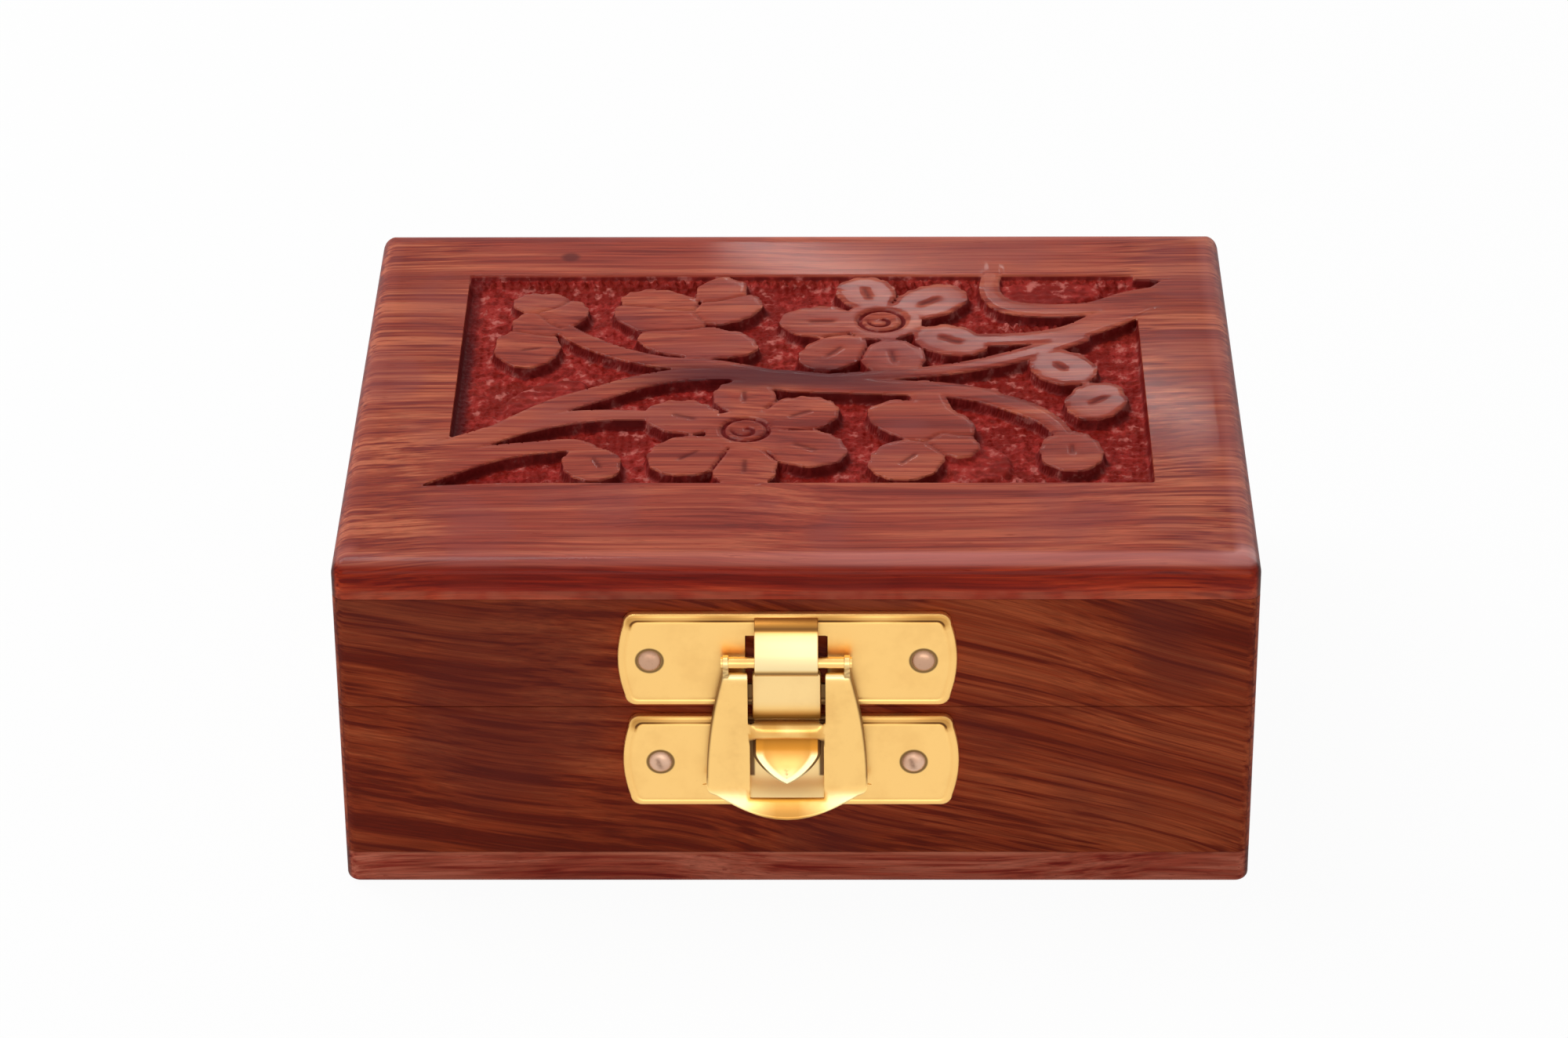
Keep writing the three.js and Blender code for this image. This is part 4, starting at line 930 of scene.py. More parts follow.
def carving(x, y, stand, fronting):
    """Height over the board's face, with marks for the stain, the painted shade beside each
    cut, the grooves, which take painted shade too, and the open ground. The ground falls over
    the chisel's slope, low leaves rise part of the way, rims and stems are drawn down by the
    square of what is left of their softness, and the seams between petals are narrow bells."""
    low = np.max([inside_ellipse(x, y, ellipse) for ellipse in LOW_PETALS], axis=0)
    leaf = smooth(low, -0.1, 0.5)
    level = -CARVING_DEPTH + BACK_RISE * smooth(y, FIELD["back"] - 3.2, FIELD["back"] - 0.4)
    level = level + (-LOW_LEAF_DROP - level) * leaf
    cut = 1 - (1 - np.clip(-stand / CHISEL_SLOPE, 0, 1)) ** 2.4
    ground = smooth(-stand, 0.2, 0.9) * (1 - leaf)
    dimple = smooth(scattered(x, y, PUNCH_SPACING, 3.0), 0.12, 0.62)
    height = level * cut + ground * PUNCH_DEPTH * (dimple - 0.6)
    height -= LEAF_PITTING * cut * leaf * smooth(scattered(x, y, 1.4, 8.0), 0.5, 0.1)
    height += COMB_HEIGHT * ground * comb_marks(x, y)

    inside = np.sort([inside_ellipse(x, y, ellipse) for ellipse in all_petals()], axis=0)
    first, second = inside[-1], inside[-2]
    heart = from_heart(x, y)
    clustered = smooth(heart, 12.0, 15.0)
    rim = 1 - np.clip(stand / RIM_SOFTNESS, 0, 1)
    height -= smooth(first, -0.05, 0.1) * RIM_DROP * rim**2
    seam = bell(first - second, 0, 0.30) * smooth(second, -0.5, 0.1) * smooth(heart, 3.2, 6.4)
    height -= SEAM_DEPTH * seam * (1 - 0.6 * clustered)
    ring = bell(heart, FLOWER_RING, 0.27)
    spirals, veins = knife_strokes(x, y)
    height -= RING_DEPTH * ring + SPIRAL_DEPTH * spirals + VEIN_DEPTH * veins
    height -= HEART_HOLLOW * smooth(heart, 2.6, 0.4) * smooth(heart, 3.0, 2.7)

    stems, field = inside_stems(x, y), inside_field(x, y)
    on_stem = smooth(stems, -0.05, 0.1) * (first < 0) * smooth(field, -3.0, 0.5)
    height -= STEM_ROUNDING * on_stem * (1 - np.clip(stems / 0.5, 0, 1)) ** 2
    grooves = 0.76 * seam * (1 - 0.55 * clustered) + 0.62 * ring + 0.76 * veins
    marks = {
        "stained": np.clip(-stand / 0.25, 0, 1) * (1 - 0.55 * leaf),
        "beside": cut_shade(x, y, stand, fronting, leaf),
        "grooves": np.clip(grooves, 0, 1),
        "cut": smooth(field, -6.0, -3.0),
        "open ground": ground,
    }
    return height, marks


def crowded(low, high, fine_low, fine_high):
    """Grid lines from low to high: fine cells in the carved stretch, coarse ones beside it."""
    left = np.linspace(low, fine_low, max(int((fine_low - low) / MARGIN_CELL), 1), endpoint=False)
    middle = np.linspace(fine_low, fine_high, int((fine_high - fine_low) / CELL), endpoint=False)
    right = np.linspace(fine_high, high, max(int((high - fine_high) / MARGIN_CELL), 1) + 1)
    return np.concatenate([left, middle, right])


def board_ring(inset, z, lines_x, lines_y):
    """The board's outline drawn in by the inset, at a height: its rounded corners, and
    between them a point for each line of the grid."""
    half_x, half_y = BOX_WIDTH / 2 - inset, BOX_DEPTH / 2 - inset
    run_x, run_y = lines_x[1:-1], lines_y[1:-1]
    runs = [np.column_stack([np.full_like(run_y, half_x), run_y]),
            np.column_stack([run_x[::-1], np.full_like(run_x, half_y)]),
            np.column_stack([np.full_like(run_y, -half_x), run_y[::-1]]),
            np.column_stack([run_x, np.full_like(run_x, -half_y)])]
    parts = [part for pair in zip(corner_arcs(inset, CORNER_STEPS), runs) for part in pair]
    return at_height(np.concatenate(parts), z)


def carved_board():
    """The board as a height over a grid of its top. Grid points near the line where the
    chisel went down are slid onto it, so that outlines are clean; rounded rings then carry
    the rim down the sides to the flat underside."""
    flat_x, flat_y = BOX_WIDTH / 2 - TOP_EDGE_RADIUS, BOX_DEPTH / 2 - TOP_EDGE_RADIUS
    lines_x = crowded(-flat_x, flat_x, -42.4, 43.5)
    lines_y = crowded(-flat_y, flat_y, -23.1, 28.8)
    x, y = np.meshgrid(lines_x, lines_y, indexing="ij")
    stand = standing(x, y)
    step = 0.02
    slope_x = (standing(x + step, y) - standing(x - step, y)) / (2 * step)
    slope_y = (standing(x, y + step) - standing(x, y - step)) / (2 * step)
    steep = np.maximum(slope_x**2 + slope_y**2, 0.2)
    border_line = (np.abs(x) > flat_x - 1e-6) | (np.abs(y) > flat_y - 1e-6)
    slide = np.where(~border_line & (np.abs(stand) < 0.5 * CELL), -stand, 0.0)
    x = x + slide * slope_x / steep
    y = y + slide * slope_y / steep
    stand = standing(x, y)
    # The facing share widens the painted shade beside cuts that face front and right.
    height, marks = carving(x, y, stand, 0.9 * slope_y - 0.45 * slope_x)
    points = np.stack([x, y, BOX_TOP + height], axis=-1).reshape(-1, 3)
    count_x, count_y = x.shape
    top_faces = grid_faces(count_x, count_y).reshape(-1, 4)

    insets, rises = edge_round(TOP_EDGE_RADIUS, 9)
    section = [(a, BOX_TOP - TOP_EDGE_RADIUS + b) for a, b in zip(insets[1:], rises[1:])]
    inset, rise = edge_round(JOINT_EDGE, 3)
    section += [(0.0, BOX_TOP - TOP_EDGE_RADIUS - 0.3), (0.0, BOARD_BASE + JOINT_EDGE + 0.3)]
    section += [(a, BOARD_BASE + JOINT_EDGE - b) for a, b in zip(inset[::-1], rise[::-1])]
    rings = np.array([board_ring(inset, z, lines_x, lines_y) for inset, z in section])
    count, size = rings.shape[:2]
    start = len(points)
    side_faces = start + ring_faces(count, size)[:, [0, 3, 2, 1]]
    underside = start + (count - 1) * size + np.arange(size)[::-1]

    along_x, along_y = np.arange(1, count_x - 1) * count_y, np.arange(1, count_y - 1)
    right_front, right_back = (count_x - 1) * count_y, count_x * count_y - 1
    turn = CORNER_STEPS + 1
    border = np.concatenate([np.full(turn, right_front), right_front + along_y,
                             np.full(turn, right_back), along_x[::-1] + count_y - 1,
                             np.full(turn, count_y - 1), along_y[::-1],
                             np.zeros(turn, int), along_x])
    rim = start + np.arange(size)
    hem = np.column_stack([border, rim, np.roll(rim, -1), np.roll(border, -1)])
    at_corner = hem[:, 0] == hem[:, 3]
    faces = [top_faces, side_faces, underside[None], hem[at_corner, :3], hem[~at_corner]]
    spare = np.zeros(count * size)
    marks = {mark: np.concatenate([values.ravel(), spare]) for mark, values in marks.items()}
    below = BOX_TOP - rings[:, :, 2].ravel()
    marks["rolled edge"] = np.concatenate([border_line.ravel(), smooth(below, 0.85, 0.40)])
    marks["upright edge"] = np.concatenate([np.zeros(start), smooth(below, 0.45, 0.95)])
    return (np.concatenate([points, rings.reshape(-1, 3)]), faces), marks


def mark(tree, name):
    """The value of a piece's mark at each point."""
    return node(tree, "ShaderNodeAttribute", settings={"attribute_name": name}).outputs["Fac"]


def board_face(tree, place, wood, wave):
    """The colour of the board's face: paler wood with stronger lines towards both ends,
    purple clouds, a grey streak across the middle, and a small dark knot."""
    x, y, z = node(tree, "ShaderNodeSeparateXYZ", place).outputs
    ends = eased(tree, sums(tree, "ABSOLUTE", x), 0.036, 0.043)
    figure = wood.node.inputs
    tree.links.new(eased(tree, ends, 0.0, 1.0, 0.40, 1.7), figure["Lines"])
    tree.links.new(mixed(tree, ends, TOP_LIGHT, END_LIGHT), figure["Light"])
    tree.links.new(mixed(tree, ends, TOP_MIDDLE, END_MIDDLE), figure["Middle"])
    cloud = eased(tree, noise(tree, place, 75.0, 2.0), 0.50, 0.66, 0.0, 0.38)
    colour = mixed(tree, cloud, wood, CLOUD_PURPLE)
    line = sums(tree, "ADD", y, sums(tree, "MULTIPLY", wave, 0.006))
    from_line = sums(tree, "ABSOLUTE", sums(tree, "SUBTRACT", line, 0.0054))
    from_middle = sums(tree, "ABSOLUTE", sums(tree, "ADD", x, 0.003))
    streak = product(tree, eased(tree, from_line, 0.0042, 0.0012),
                     eased(tree, from_middle, 0.024, 0.006),
                     eased(tree, z, 0.0393, 0.0403, 0.0, 0.92))
    colour = mixed(tree, streak, colour, STREAK_GREY)
    from_knot = node(tree, "ShaderNodeVectorMath", place, KNOT,
                     settings={"operation": "DISTANCE"}).outputs["Value"]
    from_knot = sums(tree, "ADD", from_knot, sums(tree, "MULTIPLY", wave, 0.0012))
    return mixed(tree, eased(tree, from_knot, 0.0021, 0.0012, 0.0, 0.7), colour, KNOT_DARK_AND_PAINTED_SHADE)


def punched_ground(tree, place):
    """The colour of the cut ground: red, darker in specks and pools, with pale painted glints."""
    speckle = noise(tree, place, 620.0, 3.0, 0.6)
    pooled = noise(tree, place, 230.0, 2.0)
    ground = mixed(tree, eased(tree, speckle, 0.56, 0.38), GROUND_RED, GROUND_DARK)
    ground = mixed(tree, eased(tree, pooled, 0.58, 0.38, 0.0, 0.75), ground, GROUND_DARK)
    return mixed(tree, eased(tree, speckle, 0.55, 0.70, 0.0, 0.9), ground, GROUND_PAINTED_GLINT)


def carved_material():
    """The board's rosewood. Where the chisel went down it is a punched red, darkest beside
    the cuts and in the grooves by painted shade, and not varnished. The upright edges are a
    deeper, darker red, less so towards their foot, and the rolled edge carries a painted
    highlight and a thicker coat of varnish, which shines."""
    made = wood_material("carved rosewood", TOP_LIGHT, TOP_MIDDLE, TOP_DARK,
                         shift=(0.013, 0.007, 0.011), shortness=1.5)
    tree, place, wood = opened(made)
    shader = tree.nodes["Principled BSDF"]
    x, y, z = node(tree, "ShaderNodeSeparateXYZ", place).outputs
    wave = noise(tree, place, 30.0, 2.0)
    colour = board_face(tree, place, wood, wave)

    below, chiselled, grooves = eased(tree, z, 0.04186, 0.04170), mark(tree, "cut"), mark(tree, "grooves")
    stained = sums(tree, "MAXIMUM", eased(tree, mark(tree, "stained"), 0.05, 0.6),
                   product(tree, below, chiselled))
    ground = punched_ground(tree, place)
    colour = mixed(tree, sums(tree, "MULTIPLY", stained, 0.92), colour, ground)
    # Painted shade beside the cuts and in the grooves.
    shade = product(tree, below, mark(tree, "beside"), chiselled)
    shade = sums(tree, "MAXIMUM", shade, grooves)
    colour = mixed(tree, sums(tree, "MULTIPLY", shade, 0.94), colour, KNOT_DARK_AND_PAINTED_SHADE)
    edge_red = mixed(tree, eased(tree, z, 0.0386, 0.0396), EDGE_FOOT, EDGE_DEEP_RED)
    colour = mixed(tree, mark(tree, "upright edge"), colour, edge_red, "MULTIPLY")
    # A painted highlight along the rolled edge; the same mask thickens the varnish there.
    edge_highlight_and_varnish = product(tree, mark(tree, "rolled edge"), eased(tree, x, -0.030, 0.020, 0.35, 1.0),
                   eased(tree, y, -0.0375, -0.0350, 1.0, 0.25),
                   eased(tree, wave, 0.25, 0.6, 0.6, 1.0))
    colour = mixed(tree, sums(tree, "MULTIPLY", edge_highlight_and_varnish, 0.48), colour, EDGE_PAINTED_HIGHLIGHT)
    # Painted shade down the board's left and right sides, where its edges turn away.
    turned = eased(tree, sums(tree, "ABSOLUTE", x), 0.0502, 0.0509, 0.0, 0.45)
    recolour(tree, mixed(tree, turned, colour, CORNER_PAINTED_SHADE))

    corner = eased(tree, x, 0.0455, 0.0480, 0.0, 0.6)
    edge_highlight_and_varnish = sums(tree, "MULTIPLY", edge_highlight_and_varnish, sums(tree, "ADD", corner, EDGE_BEAD))
    cut_off = sums(tree, "MULTIPLY", sums(tree, "MAXIMUM", stained, grooves), TOP_VARNISH)
    varnish = sums(tree, "SUBTRACT", sums(tree, "ADD", edge_highlight_and_varnish, TOP_VARNISH), cut_off, clamp=True)
    tree.links.new(varnish, shader.inputs["Coat Weight"])
    bump = shader.inputs["Normal"].links[0].from_node
    pits = node(tree, "ShaderNodeTexVoronoi", Vector=place, Scale=1500.0).outputs["Distance"]
    pits = sums(tree, "MULTIPLY", pits, mark(tree, "open ground"))
    rough = node(tree, "ShaderNodeBump", Strength=0.8, Distance=0.00022, Height=pits)
    tree.links.new(rough.outputs[0], bump.inputs["Normal"])
    tree.links.new(rough.outputs[0], shader.inputs["Coat Normal"])
    return made


board_part, board_marks = carved_board()
carved_wood = carved_material()
# A painted highlight along the joint between the board and the lid's walls.
tint_between(carved_wood, 37.2, 37.5, 38.3, 38.7, 0.30, JOINT_PAINTED_HIGHLIGHT)
painted_corner_shade(carved_wood, 0.70)
piece("carved_top_board_dressed", [board_part], carved_wood, "lid",
      smooth_up_to=70, replaced=["carved_top_board"], marks=board_marks)

# Hinges.
# Two small stamped brass butt hinges let into the back edge, each with a leaf on the base
# and one on the lid round a steel pin, and two brass nails through each leaf.

BRASS_CLEAN = (0.99, 0.62, 0.21, 1)
BRASS_DULL = (0.62, 0.32, 0.09, 1)
BRASS_PAINTED_REFLECTION = (0.62, 0.25, 0.030, 1)
BRASS_PAINTED_HIGHLIGHT = (0.99, 0.81, 0.44, 1)
GRIME_AND_PAINTED_SHADE = (0.095, 0.040, 0.018, 1)
PIN_STEEL, PIN_DULL = (0.60, 0.55, 0.50, 1), (0.25, 0.20, 0.16, 1)


def tarnish_group():
    """Handled metal: a slow cloud shows where it has dulled, and fine scratches and
    dimples give masks and a height."""
    inputs = {"Vector": ("NodeSocketVector", None), "Dulling": ("NodeSocketFloat", 0.3)}
    outputs = {"Dull": "NodeSocketFloat", "Height": "NodeSocketFloat"}
    group, entry, leave = new_group("tarnish", inputs, outputs)
    cloud = noise(group, entry["Vector"], 260.0, 3.0, 0.6)
    specks = noise(group, entry["Vector"], 2400.0, 2.0, 0.6)
    dull = sums(group, "ADD", eased(group, cloud, 0.42, 0.75),
                eased(group, specks, 0.62, 0.8, 0, 0.4))
    dull = sums(group, "MULTIPLY", dull, entry["Dulling"], clamp=True)
    group.links.new(dull, leave["Dull"])
    waves = noise(group, entry["Vector"], 300.0, 1.0, 0.5)
    uneven = sums(group, "ADD", waves, sums(group, "MULTIPLY", specks, 0.04))
    group.links.new(uneven, leave["Height"])
    return group


tarnish = tarnish_group()


def metal_material(name, clean, dull, dulling, roughness):
    """Thin pressed metal with clean and dulled patches and faintly uneven faces. A piece's
    marks paint on it: one pales the colour as a painted highlight, one deepens it to amber as
    a painted reflection of brass and wood in hollows, and one darkens it with dirt and painted
    shade."""
    made, tree, shader, place = new_finish(name)
    wear_and_painted_light = node(tree, "ShaderNodeGroup", settings={"node_tree": tarnish}, Vector=place,
                Dulling=dulling).outputs
    colour = mixed(tree, wear_and_painted_light["Dull"], clean, dull)
    # Painted highlight, painted amber reflection, then dirt with painted shade, each from a mark.
    colour = mixed(tree, mark(tree, "painted_highlight"), colour, BRASS_PAINTED_HIGHLIGHT)
    colour = mixed(tree, mark(tree, "amber_reflection"), colour, BRASS_PAINTED_REFLECTION)
    grime_and_shade = mark(tree, "grime_and_shade")
    recolour(tree, mixed(tree, sums(tree, "MULTIPLY", grime_and_shade, 0.9, clamp=True), colour, GRIME_AND_PAINTED_SHADE))
    rough = sums(tree, "ADD", sums(tree, "MULTIPLY", wear_and_painted_light["Dull"], 0.25),
                 sums(tree, "MULTIPLY", grime_and_shade, 0.3))
    tree.links.new(sums(tree, "ADD", rough, roughness), shader.inputs["Roughness"])
    shader.inputs["Metallic"].default_value = 1.0
    bump = node(tree, "ShaderNodeBump", Strength=0.25, Distance=0.00004, Height=wear_and_painted_light["Height"])
    tree.links.new(bump.outputs[0], shader.inputs["Normal"])
    return made


hinge_brass = metal_material("hinge brass", BRASS_CLEAN, BRASS_DULL, 0.7, 0.30)
pin_steel = metal_material("pin steel", PIN_STEEL, PIN_DULL, 0.5, 0.35)
for hand in ("left", "right"):
    dress(f"{hand}_hinge_pin", pin_steel)
    for side in ("base", "lid"):
        dress(f"{hand}_hinge_{side}_leaf", hinge_brass)
        for place in ("outer", "inner"):
            dress(f"{hand}_hinge_{side}_nail_{place}", hinge_brass)

# Clasp plates.
# Two oblong plates pressed from thin brass sheet, their edges rolled back all round, nailed
# to the lid and the base one above the other. The upper has a window behind its strap.

CLASP_X, FRONT = -1.05, -40.0
PLATE_WIDTH, PLATE_HEIGHT = 37.5, 11.7
UPPER_ASIDE, LOWER_ASIDE = 0.10, 0.45
PLATE_END_BULGE = 0.7
PLATE_CORNER_RADIUS = 1.3
UPPER_FOOT, LOWER_FOOT = 24.3, 11.1
PLATE_OUT = 1.0
WINDOW_HALF, WINDOW_FOOT, WINDOW_TOP = 4.55, 27.1, 33.4
UPPER_NAILS = [(-15.1, 30.15), (15.1, 30.15)]
LOWER_NAILS = [(-14.1, 16.95), (14.1, 16.95)]


def on_front(x, out, z):
    """Places on the clasp: across from its middle, out from the box's front, and up."""
    return np.stack(np.broadcast_arrays(CLASP_X + x, FRONT - out, z), axis=-1)


def plate_outline(inset):
    """Points round a plate drawn in by the inset, with its foot at 0: straight long edges,
    quarter-circle corners, and ends bowed out as a parabola."""
    half_x, half_z = PLATE_WIDTH / 2 - inset, PLATE_HEIGHT / 2 - inset
    radius = max(PLATE_CORNER_RADIUS - 0.6 * inset, 0.15)
    corner_x, corner_z = half_x - PLATE_END_BULGE - radius, half_z - radius
    angle = np.radians(np.linspace(-90, 0, 9))
    arc_x, arc_z = corner_x + radius * np.cos(angle), -corner_z + radius * np.sin(angle)
    end = np.linspace(-1, 1, 19)[1:-1]
    end_x = corner_x + radius + PLATE_END_BULGE * (1 - end**2)
    run = np.linspace(-corner_x, corner_x, 61)[1:-1]
    x = np.concatenate([run, arc_x, end_x, arc_x[::-1], run[::-1], -arc_x, -end_x, -arc_x[::-1]])
    z = np.concatenate([np.full(59, -half_z), arc_z, end * corner_z, -arc_z[::-1],
                        np.full(59, half_z), -arc_z, -end * corner_z, arc_z[::-1]])
    return x, z + PLATE_HEIGHT / 2


# Each step of the edge: how far in, how far out from the wall, and how much painted shade and reflection
# it takes.
PLATE_EDGE = [(0.30, 0.0, 0.0), (0.08, 0.03, 0.0), (0.0, 0.12, 0.0), (0.0, 0.62, 0.0),
              (0.05, 0.80, 0.10), (0.16, 0.92, 0.55), (0.34, 0.985, 0.62), (0.54, 1.0, 0.55),
              (0.66, 0.985, 0.6), (0.74, 0.93, 1.0), (0.88, 0.925, 1.0), (0.98, 0.975, 0.30),
              (1.10, 1.0, 0.05), (1.3, 1.0, 0.0)]


def looped(rings):
    """Points and faces of a form through equal rings that ends where it begins."""
    count, size = rings.shape[:2]
    return rings.reshape(-1, 3), [ring_faces(count + 1, size) % (count * size)]


def plate(foot, aside, window):
    """Rings of the folded edge and the groove beside it, then the flat face to its middle
    or to the window's edge, whose points lie on the rays from the window's middle through
    the outline's points. The groove and rim take the most painted shade and painted
    reflection of the wood along the plate's upper edge, and the window's turned edge takes
    painted shade."""
    rings, shade_and_dirt = [], []
    for inset, out, shade_share in PLATE_EDGE:
        x, z = plate_outline(inset)
        rings.append(on_front(aside + x, out, foot + z))
        # Painted shade and reflection are strongest along the upper edge, which faces the wood above.
        upper = smooth(z / PLATE_HEIGHT, 0.82, 0.90) * smooth(np.abs(x), 18.2, 17.4)
        patchy = 0.75 + 0.25 * np.sin(x * 0.55 + foot)
        shade_and_dirt.append(shade_share * (0.10 + 0.90 * upper * patchy))
    x, z = plate_outline(PLATE_EDGE[-1][0])
    x, z = aside + x, foot + z
    if window:
        middle = (WINDOW_FOOT + WINDOW_TOP) / 2
        half = (WINDOW_TOP - WINDOW_FOOT) / 2
        reach = np.maximum(np.abs(x) / WINDOW_HALF, np.abs(z - middle) / half)
        inner_x, inner_z = x / reach, middle + (z - middle) / reach
        for share in (0.25, 0.5, 0.75, 0.92, 1.0):
            rings.append(on_front(x + share * (inner_x - x), PLATE_OUT, z + share * (inner_z - z)))
            shade_and_dirt.append(np.zeros_like(x))
        for out, left in ((0.93, 0.993), (0.5, 0.991), (0.0, 0.991)):
            rings.append(on_front(inner_x * left, out, middle + (inner_z - middle) * left))
            shade_and_dirt.append(np.full_like(x, 0.5))
        return *looped(np.array(rings)), np.concatenate(shade_and_dirt)
    middle = foot + PLATE_HEIGHT / 2
    for share in (0.3, 0.6, 0.85):
        rings.append(on_front(x + share * (aside - x), PLATE_OUT, z + share * (middle - z)))
        shade_and_dirt.append(np.zeros_like(x))
    return *lofted(np.array(rings)), np.concatenate(shade_and_dirt)


def brass_marks(grime_and_shade, amber_reflection, painted_highlight):
    """The three marks that the brass reads, with a value for each point: dirt with painted shade, painted
    amber reflection and painted highlight.
    """
    marks = {"grime_and_shade": grime_and_shade, "amber_reflection": amber_reflection, "painted_highlight": painted_highlight}
    return {name: np.ravel(values) for name, values in marks.items()}


def rim_marks(shade_and_dirt):
    """Marks from a plate's edge shading: where it is light it is mostly a painted amber
    reflection, and only the groove's full share is dirt and painted shade."""
    return brass_marks(shade_and_dirt * smooth(shade_and_dirt, 0.1, 0.9), np.clip(1.1 * shade_and_dirt, 0, 1), 0 * shade_and_dirt)


def both_marks(first, second):
    """The marks of a piece's two parts, one after the other."""
    return {name: np.concatenate([first[name], second[name]]) for name in first}


def plate_brass(name, nails, nail_ring, slot_foot, slot_top, highlight_top=0.0):
    """Clasp brass with a dark ring of dirt and painted shade round each nail, at places given
    across and up, painted shade in the two narrow slots beside the strap or the nose, between
    two heights, and a painted highlight below a third height, where the hasp shades the plate."""
    made = metal_material(name, BRASS_CLEAN, BRASS_DULL, 0.18, 0.38)
    tree, place, colour = opened(made)
    for x, z in nails:
        centre = (0.001 * (CLASP_X + x), 0.001 * (FRONT - PLATE_OUT), 0.001 * z)
        away = node(tree, "ShaderNodeVectorMath", place, centre,
                    settings={"operation": "DISTANCE"}).outputs["Value"]
        off = sums(tree, "ABSOLUTE", sums(tree, "SUBTRACT", away, 0.001 * nail_ring))
        colour = mixed(tree, eased(tree, off, 0.00026, 0.00006, 0.0, 0.85), colour, GRIME_AND_PAINTED_SHADE)
    x, y, z = node(tree, "ShaderNodeSeparateXYZ", place).outputs
    across = sums(tree, "ABSOLUTE", sums(tree, "SUBTRACT", x, 0.001 * CLASP_X))
    foot, top, pale_line = 0.001 * slot_foot, 0.001 * slot_top, 0.001 * highlight_top
    # Painted shade in the two slots.
    slot = product(tree, eased(tree, across, 0.00345, 0.00375), eased(tree, across, 0.0050, 0.0044),
                   eased(tree, z, foot, foot + 0.0003), eased(tree, z, top, top - 0.0003),
                   eased(tree, y, -0.0405, -0.0409), eased(tree, y, -0.0412, -0.0411), 0.9)
    # A painted highlight on the plate under the hasp's lower window.
    pale = product(tree, eased(tree, across, 0.0043, 0.0038),
                   eased(tree, z, pale_line, pale_line - 0.0012, 0.0, 0.5))
    colour = mixed(tree, pale, colour, BRASS_PAINTED_HIGHLIGHT)
    recolour(tree, mixed(tree, slot, colour, GRIME_AND_PAINTED_SHADE))
    return made


upper_brass = plate_brass("upper plate brass", UPPER_NAILS, 1.44, 24.3, 30.0)
lower_brass = plate_brass("lower plate brass", LOWER_NAILS, 1.42, 15.0, 23.0, highlight_top=17.6)

# Strap and wire.
# A tongue of the upper plate is folded out over the plate's top edge, down round a brass
# wire and back against the plate, and its end is left a little wider as a flat tail.

WIRE_OUT, WIRE_Z, WIRE_RADIUS = 2.25, 30.7, 0.64
WIRE_HALF = 7.2
STRAP_WIDTH, STRAP_TAIL_WIDTH, STRAP_THICKNESS = 7.0, 7.6, 0.55
STRAP_STATIONS = 97
# Places of the strap's middle, out from the wall and up: over the plate's edge, down round
# the wire, back to the plate and down it.
STRAP_PATH = [
    (0.55, 35.15), (0.95, 35.42), (1.55, 35.40), (2.05, 35.18), (2.32, 34.70), (2.60, 33.70),
    (2.92, 32.60), (3.16, 31.70), (3.26, 30.90), (3.17, 30.15), (2.80, 29.60), (2.20, 29.36),
    (1.62, 29.16), (1.31, 28.70), (1.255, 28.10), (1.255, 25.60), (1.255, 22.95),
]


def carried(path, half_widths, thickness, corner=0.14, sides=5):
    """A flat strip carried along a path of places out and up: its section is a rectangle
    with rounded edges, square to the path, half as wide as given at each place."""
    path = np.array(path, float)
    along = np.gradient(path, axis=0)
    along /= np.linalg.norm(along, axis=1)[:, None]
    normal = np.column_stack([-along[:, 1], along[:, 0]])
    angle = np.radians(np.linspace(0, 90, sides))
    section = []
    for start, (side, face) in enumerate([(1, -1), (1, 1), (-1, 1), (-1, -1)]):
        turned = angle + np.radians(90 * (start - 1))
        section.append(np.column_stack([
            np.full(sides, side), -corner * side + corner * np.cos(turned),
            face * (thickness / 2 - corner) + corner * np.sin(turned)]))
    side, shift, off = np.concatenate(section).T
    x = np.asarray(half_widths)[:, None] * side + shift
    out = path[:, 0, None] + normal[:, 0, None] * off
    z = path[:, 1, None] + normal[:, 1, None] * off
    return lofted(on_front(x, out, z))


def rod(x0, x1, out, z, radius, sides=28):
    """A round rod across the clasp whose ends are rounded over by quarter circles."""
    angle = np.linspace(0, 2 * np.pi, sides, endpoint=False)
    ease = np.radians(np.array([0, 25, 50, 70, 90]))
    drawn_in = 0.35 * radius * (1 - np.sin(ease))
    stations = np.concatenate([x0 + drawn_in, x1 - drawn_in[::-1]])
    radii = np.concatenate([radius - drawn_in, radius - drawn_in[::-1]])
    return lofted(on_front(stations[:, None], out + radii[:, None] * np.cos(angle),
                           z + radii[:, None] * np.sin(angle)))


strap_place = np.linspace(0, len(STRAP_PATH) - 1, STRAP_STATIONS)
tail = smooth(strap_place, 11.5, 13.5)
strap_widths = (STRAP_WIDTH + (STRAP_TAIL_WIDTH - STRAP_WIDTH) * tail) / 2
strap = carried(smooth_curve(STRAP_PATH, STRAP_STATIONS), strap_widths, STRAP_THICKNESS)
# Painted shade along the strap's bends and at both ends, painted amber reflection at both ends, and a
# painted highlight on its faces.
crease = bell(strap_place, 11.3, 0.75) + 0.85 * bell(strap_place, 9.2, 0.4)
crease = crease + 0.35 * smooth(strap_place, 4.2, 3.8) + 0.5 * bell(strap_place, 3.5, 0.4)
crease = crease + 0.35 * smooth(strap_place, 15.7, 15.95)
reflected_amber = 0.85 * smooth(strap_place, 4.2, 3.8) + 0.9 * smooth(strap_place, 15.5, 15.8)
highlighted = 0.85 * smooth(strap_place, 4.1, 4.6) * smooth(strap_place, 9.0, 8.4)
highlighted = highlighted + 0.40 * smooth(strap_place, 11.9, 12.4) * smooth(strap_place, 15.6, 15.2)
wear_and_painted_light = (np.clip(crease, 0, 1), np.clip(reflected_amber, 0, 1), highlighted)
